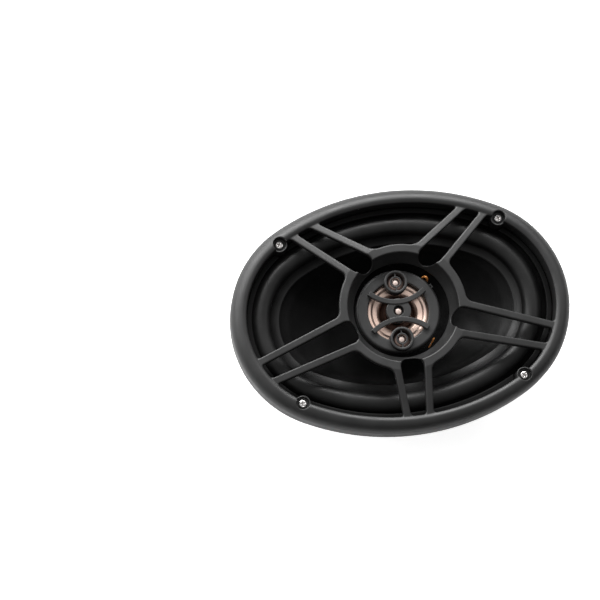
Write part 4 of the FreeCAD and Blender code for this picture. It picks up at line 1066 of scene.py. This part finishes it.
def basket_field(x, y, z):
    inset, radius = oval_inset(x, y), np.hypot(x, y)
    flange = meet(slab(inset, *FLANGE_BAND), slab(z, 0, FLANGE_TOP), 0.3)
    flange = remove(flange, at_screws(x, y) - SCREW_HOLE, 0.2)
    landing = np.maximum(slab(radius, MAGNET_CUP[0], LANDING_OUTER), slab(z, LANDING - SHEET, LANDING))
    wall = np.maximum(slab(radius, *MAGNET_CUP), slab(z, FLOOR_TOP - SHEET, LANDING))
    floor = np.maximum(slab(radius, MAGNET_OPENING, MAGNET_CUP[1]), slab(z, FLOOR_TOP - SHEET, FLOOR_TOP))
    cup = join(join(landing, wall, 1.2), floor, 1.2)
    across = np.abs(x) - BRACKET_HALF
    shelf = np.maximum(slab(y, *SHELF_Y), slab(z, LANDING - 2 * SHEET, LANDING - SHEET))
    back = np.maximum(slab(y, *BACK_Y), slab(z, LANDING - BACK_TALL, LANDING - SHEET))
    bracket = join(np.maximum(across, shelf), np.maximum(across, back), 1.0)
    return join(join(join(bowl_field(inset, radius, x, y, z), flange, 1.2), cup, 1.0), bracket, 0.6)


BOOT_RADIUS = 46.6
BOOT_BORE = 45.15
BOOT_TOP = 23.5
STEEL_RADIUS = 42.9
TURNS = 40
TURN_RADII = (19.6, 20.25, 20.38)


def turned_ring(name, node, inner, outer, easing):
    """A flat ring as tall as its CAD node."""
    low, high = bottom(node), top(node)
    ring = [(inner, low), (outer, low), (outer, high), (inner, high)]
    stand_for(lathe(name, ring, 160, easing=easing), node)


def make_motor():
    """Turned and moulded parts of the motor, with eased edges."""
    base, outer, bore = bottom("magnet_boot"), BOOT_RADIUS, BOOT_BORE
    boot = [(34, base), (outer - 1.8, base), (outer, base + 1.8), (outer, base + 9),
            (outer - 0.5, base + 9.6), (outer - 0.5, base + 12.4), (outer, base + 13),
            (outer, base + BOOT_TOP), (bore, base + BOOT_TOP), (bore, base + 1.55), (34, base + 1.55)]
    stand_for(lathe("boot_moulding", boot, 192, easing=0.7), "magnet_boot")
    turned_ring("magnet_ring", "ferrite_magnet", 24, 44.95, 0.8)
    turned_ring("top_plate", "front_plate", 20.95, STEEL_RADIUS, 0.6)
    low, high = bottom("pole_yoke"), top("pole_yoke")
    yoke = [(9, low), (STEEL_RADIUS, low), (STEEL_RADIUS, low + 5), (18.2, low + 5),
            (18.2, high), (4.7, high), (4.7, low + 4.6), (9, low + 4.6)]
    stand_for(lathe("yoke_turning", yoke, 160, easing=0.6), "pole_yoke")
    low, high = bottom("voice_coil_winding"), top("voice_coil_winding")
    inner, valley, crest = TURN_RADII
    winding = [(inner, low)]
    for index in range(TURNS):
        height = low + (high - low) * (index + 0.5) / TURNS
        winding += [(valley, height - 0.13), (crest, height), (valley, height + 0.13)]
    winding += [(inner, high)]
    stand_for(lathe("wire_winding", winding, 128, easing=0), "voice_coil_winding")


RIVET_PLACE = 33 / math.sqrt(2)


def rivet_field(x, y, z):
    """Four domed rivets on their shanks."""
    radius = at_screws(x, y, RIVET_PLACE, RIVET_PLACE)
    head_top = top("basket_rivets")
    seat = head_top - 1.3
    head = np.hypot(radius * 0.55, z - head_top + 2) - 2
    head = meet(head, seat - z, 0.1)
    shank = np.maximum(radius - 1.95, slab(z, bottom("basket_rivets"), seat))
    return np.minimum(np.maximum(head, radius - 3.4), shank)


BOARD_Y = (-62.35, -60.05)
TAB_Y = (-63.18, -62.42)
BLADE_Y = (-72.35, -62.45)
BLADE_EYE = -68.2
TAB_SHEET = 0.8
TAB_X = 8.0
TABS = (("positive_tab", TAB_X, 2.4), ("negative_tab", -TAB_X, 1.4))
LEADS = (("positive_lead", TAB_X), ("negative_lead", -TAB_X))
TAB_RIVET_Z = -39.5


def board_field(x, y, z):
    low, high = bottom("terminal_board"), top("terminal_board")
    plate = meet(np.abs(x) - 14.9, slab(y, *BOARD_Y), 0.3)
    plate = meet(plate, slab(z, low + 0.1, high - 0.1), 0.5)
    holes = np.hypot(np.abs(x) - 12.6, z - (low + high) / 2) - 1.3
    return remove(plate, holes, 0.2)


def make_tab(name, across, half):
    low, high = bottom(name), top(name)

    def tab(x, y, z):
        side = np.abs(x - across) - half
        upright = np.maximum(slab(y, *TAB_Y), slab(z, low, high - 0.05))
        trim = side + 0.5 * np.maximum(-y - 70.5, 0)
        blade = np.maximum(slab(y, *BLADE_Y), slab(z, low, low + TAB_SHEET))
        blade = remove(meet(blade, trim, 0.2), np.hypot(x - across, y - BLADE_EYE) - half * 0.36, 0.1)
        return join(meet(upright, side, 0.15), blade, 0.5)
    shape_node(name, name + "_form", tab, 0.2)


def tab_rivets(x, y, z):
    radius = np.hypot(np.abs(x) - TAB_X, z - TAB_RIVET_Z)
    return meet(np.hypot(radius * 0.5, y + 62.9) - 0.95, radius - 1.4, 0.1)


def make_lead(name, across):
    """A braided lead that bends between the chassis and the cone."""
    start, stop = node_box(name)
    path = [(across, start[1] + 0.6, start[2]), (across, start[1] + 3.1, start[2] + 6),
            (across, start[1] + 12.6, start[2] + 8), (across, stop[1] - 1.2, stop[2] - 1.6)]
    lead = tube(name + "_braid", path, 0.55, 24, 0.18)
    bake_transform(lead, "chassis", "woofer", (0, (start[1] + 3) * MM, 0), (0, (stop[1] - 2) * MM, 0))
    stand_for(lead, name)


def make_terminals():
    """Board with two holes, formed spade tabs with a locking hole, their rivets and the leads."""
    shape_node("terminal_board", "terminal_plate", board_field, 0.3)
    for tab in TABS:
        make_tab(*tab)
    low, high = node_box("terminal_rivets")
    stand_for(field_mesh("tab_rivets", tab_rivets, low - 0.4, high + 0.4, 0.12), "terminal_rivets")
    for lead in LEADS:
        make_lead(*lead)


def make_capacitors():
    """Sleeved cans with a rolled groove near the top."""
    for name in ("mid_capacitor", "tweeter_capacitor"):
        low, high = node_box(name)
        centre = (low + high) / 2
        radius = (high[0] - low[0]) / 2
        foot, head = low[2], high[2]
        profile = [(0, foot), (radius - 0.2, foot), (radius, foot + 0.4), (radius, head - 2.4),
                   (radius - 0.5, head - 1.9), (radius, head - 1.4), (radius, head - 0.3),
                   (radius - 1.0, head), (radius - 1.4, head - 0.25), (0, head - 0.25)]
        stand_for(lathe(name + "_can", profile, 72, (centre[0], centre[1]), 0.15), name)


shape_node("grille", "grille_moulding", grille_field, 0.5, 1.0)
make_screws()
make_gaskets()
make_surround()
make_cone()
make_spider()
make_pod()
make_midrange()
make_domes()
make_pod_wires()
shape_node("basket", "pressed_basket", basket_field, 0.55, 1.0)
make_motor()
shape_node("basket_rivets", "landing_rivets", rivet_field, 0.3)
make_terminals()
make_capacitors()

for node in frame["nodes"].values():
    if not node.hide_render:
        node.data.materials.clear()
        node.data.materials.append(MATERIALS[node_slot[node.name]])


# ---- studio ----

FLOOR_GLOW = (0.12, 0.7)
FLOOR_GAP = 0.2


def make_floor():
    """A white floor that glows more to the camera than to the object."""
    bpy.ops.mesh.primitive_plane_add(size=8, location=(0, 0, (bottom("magnet_boot") - FLOOR_GAP) * MM))
    floor = bpy.context.object
    floor.name = "studio_floor"
    material, tree, shader = new_material("studio_white")
    shader.inputs["Base Color"].default_value = (0.86, 0.86, 0.86, 1)
    shader.inputs["Roughness"].default_value = 0.9
    shader.inputs["Specular IOR Level"].default_value = 0.1
    shader.inputs["Emission Color"].default_value = (1, 1, 1, 1)
    seen = tree.nodes.new("ShaderNodeLightPath")
    glow = spread(tree, seen.outputs["Is Camera Ray"], *FLOOR_GLOW, 0, 1)
    tree.links.new(glow, shader.inputs["Emission Strength"])
    floor.data.materials.append(material)


LIGHTS = (
    ("key", (-1.25, 0.55, 0.6), (0.5, 0.7), 5),
    ("softbox", (-0.15, 1.15, 0.93), (1.9, 0.45), 46),
    ("edge", (-0.8, 1.3, 0.3), (1.4, 0.25), 9),
    ("fill", (1.0, 0.3, 0.9), (0.8, 0.8), 2),
)
BRIGHT_SIDE = (-0.45, 0.65, 0.6)
WORLD_GLOW = (0.12, 0.8)
WORLD_EDGES = (-0.3, 0.9)


def add_light(name, place, size, power):
    """A rectangular light that looks at the origin."""
    light = bpy.data.lights.new(name, "AREA")
    light.shape = "RECTANGLE"
    light.size, light.size_y = size
    light.energy = power
    obj = bpy.data.objects.new(name, light)
    obj.location = place
    obj.rotation_euler = (-Vector(place)).to_track_quat("-Z", "Y").to_euler()
    bpy.context.scene.collection.objects.link(obj)


def make_lights():
    """Four area lights, in a room that is brighter on one side."""
    for light in LIGHTS:
        add_light(*light)
    world = bpy.data.worlds.new("studio")
    world.use_nodes = True
    tree = world.node_tree
    place = tree.nodes.new("ShaderNodeTexCoord").outputs["Generated"]
    facing = vector_math(tree, "DOT_PRODUCT", place, Vector(BRIGHT_SIDE).normalized())
    glow = spread(tree, facing, *WORLD_GLOW, *WORLD_EDGES)
    tree.links.new(glow, tree.nodes["Background"].inputs["Strength"])
    tree.nodes["Background"].inputs["Color"].default_value = (1, 1, 1, 1)
    bpy.context.scene.world = world


LENS = 137
LENS_OFFSET = (71.99, -6.80, -1616.3)
LENS_TURNS = ((8.46, "Z"), (-12.1, "X"), (6.21, "Y"))


def make_camera():
    """A long lens that looks at the face from a little below and to the left."""
    lens = bpy.data.cameras.new("camera")
    lens.lens = LENS
    lens.clip_end = 20
    camera = bpy.data.objects.new("camera", lens)
    turn = Matrix.Identity(3)
    for degrees, axis in LENS_TURNS:
        turn = turn @ Matrix.Rotation(math.radians(degrees), 3, axis)
    turn.transpose()
    place = Vector((0, 0, SCREW_TOP * MM)) - turn @ (Vector(LENS_OFFSET) * MM)
    camera.matrix_world = Matrix.Translation(place) @ turn.to_4x4()
    bpy.context.scene.collection.objects.link(camera)
    bpy.context.scene.camera = camera


make_floor()
make_lights()
make_camera()
bpy.context.scene.view_settings.view_transform = "Standard"
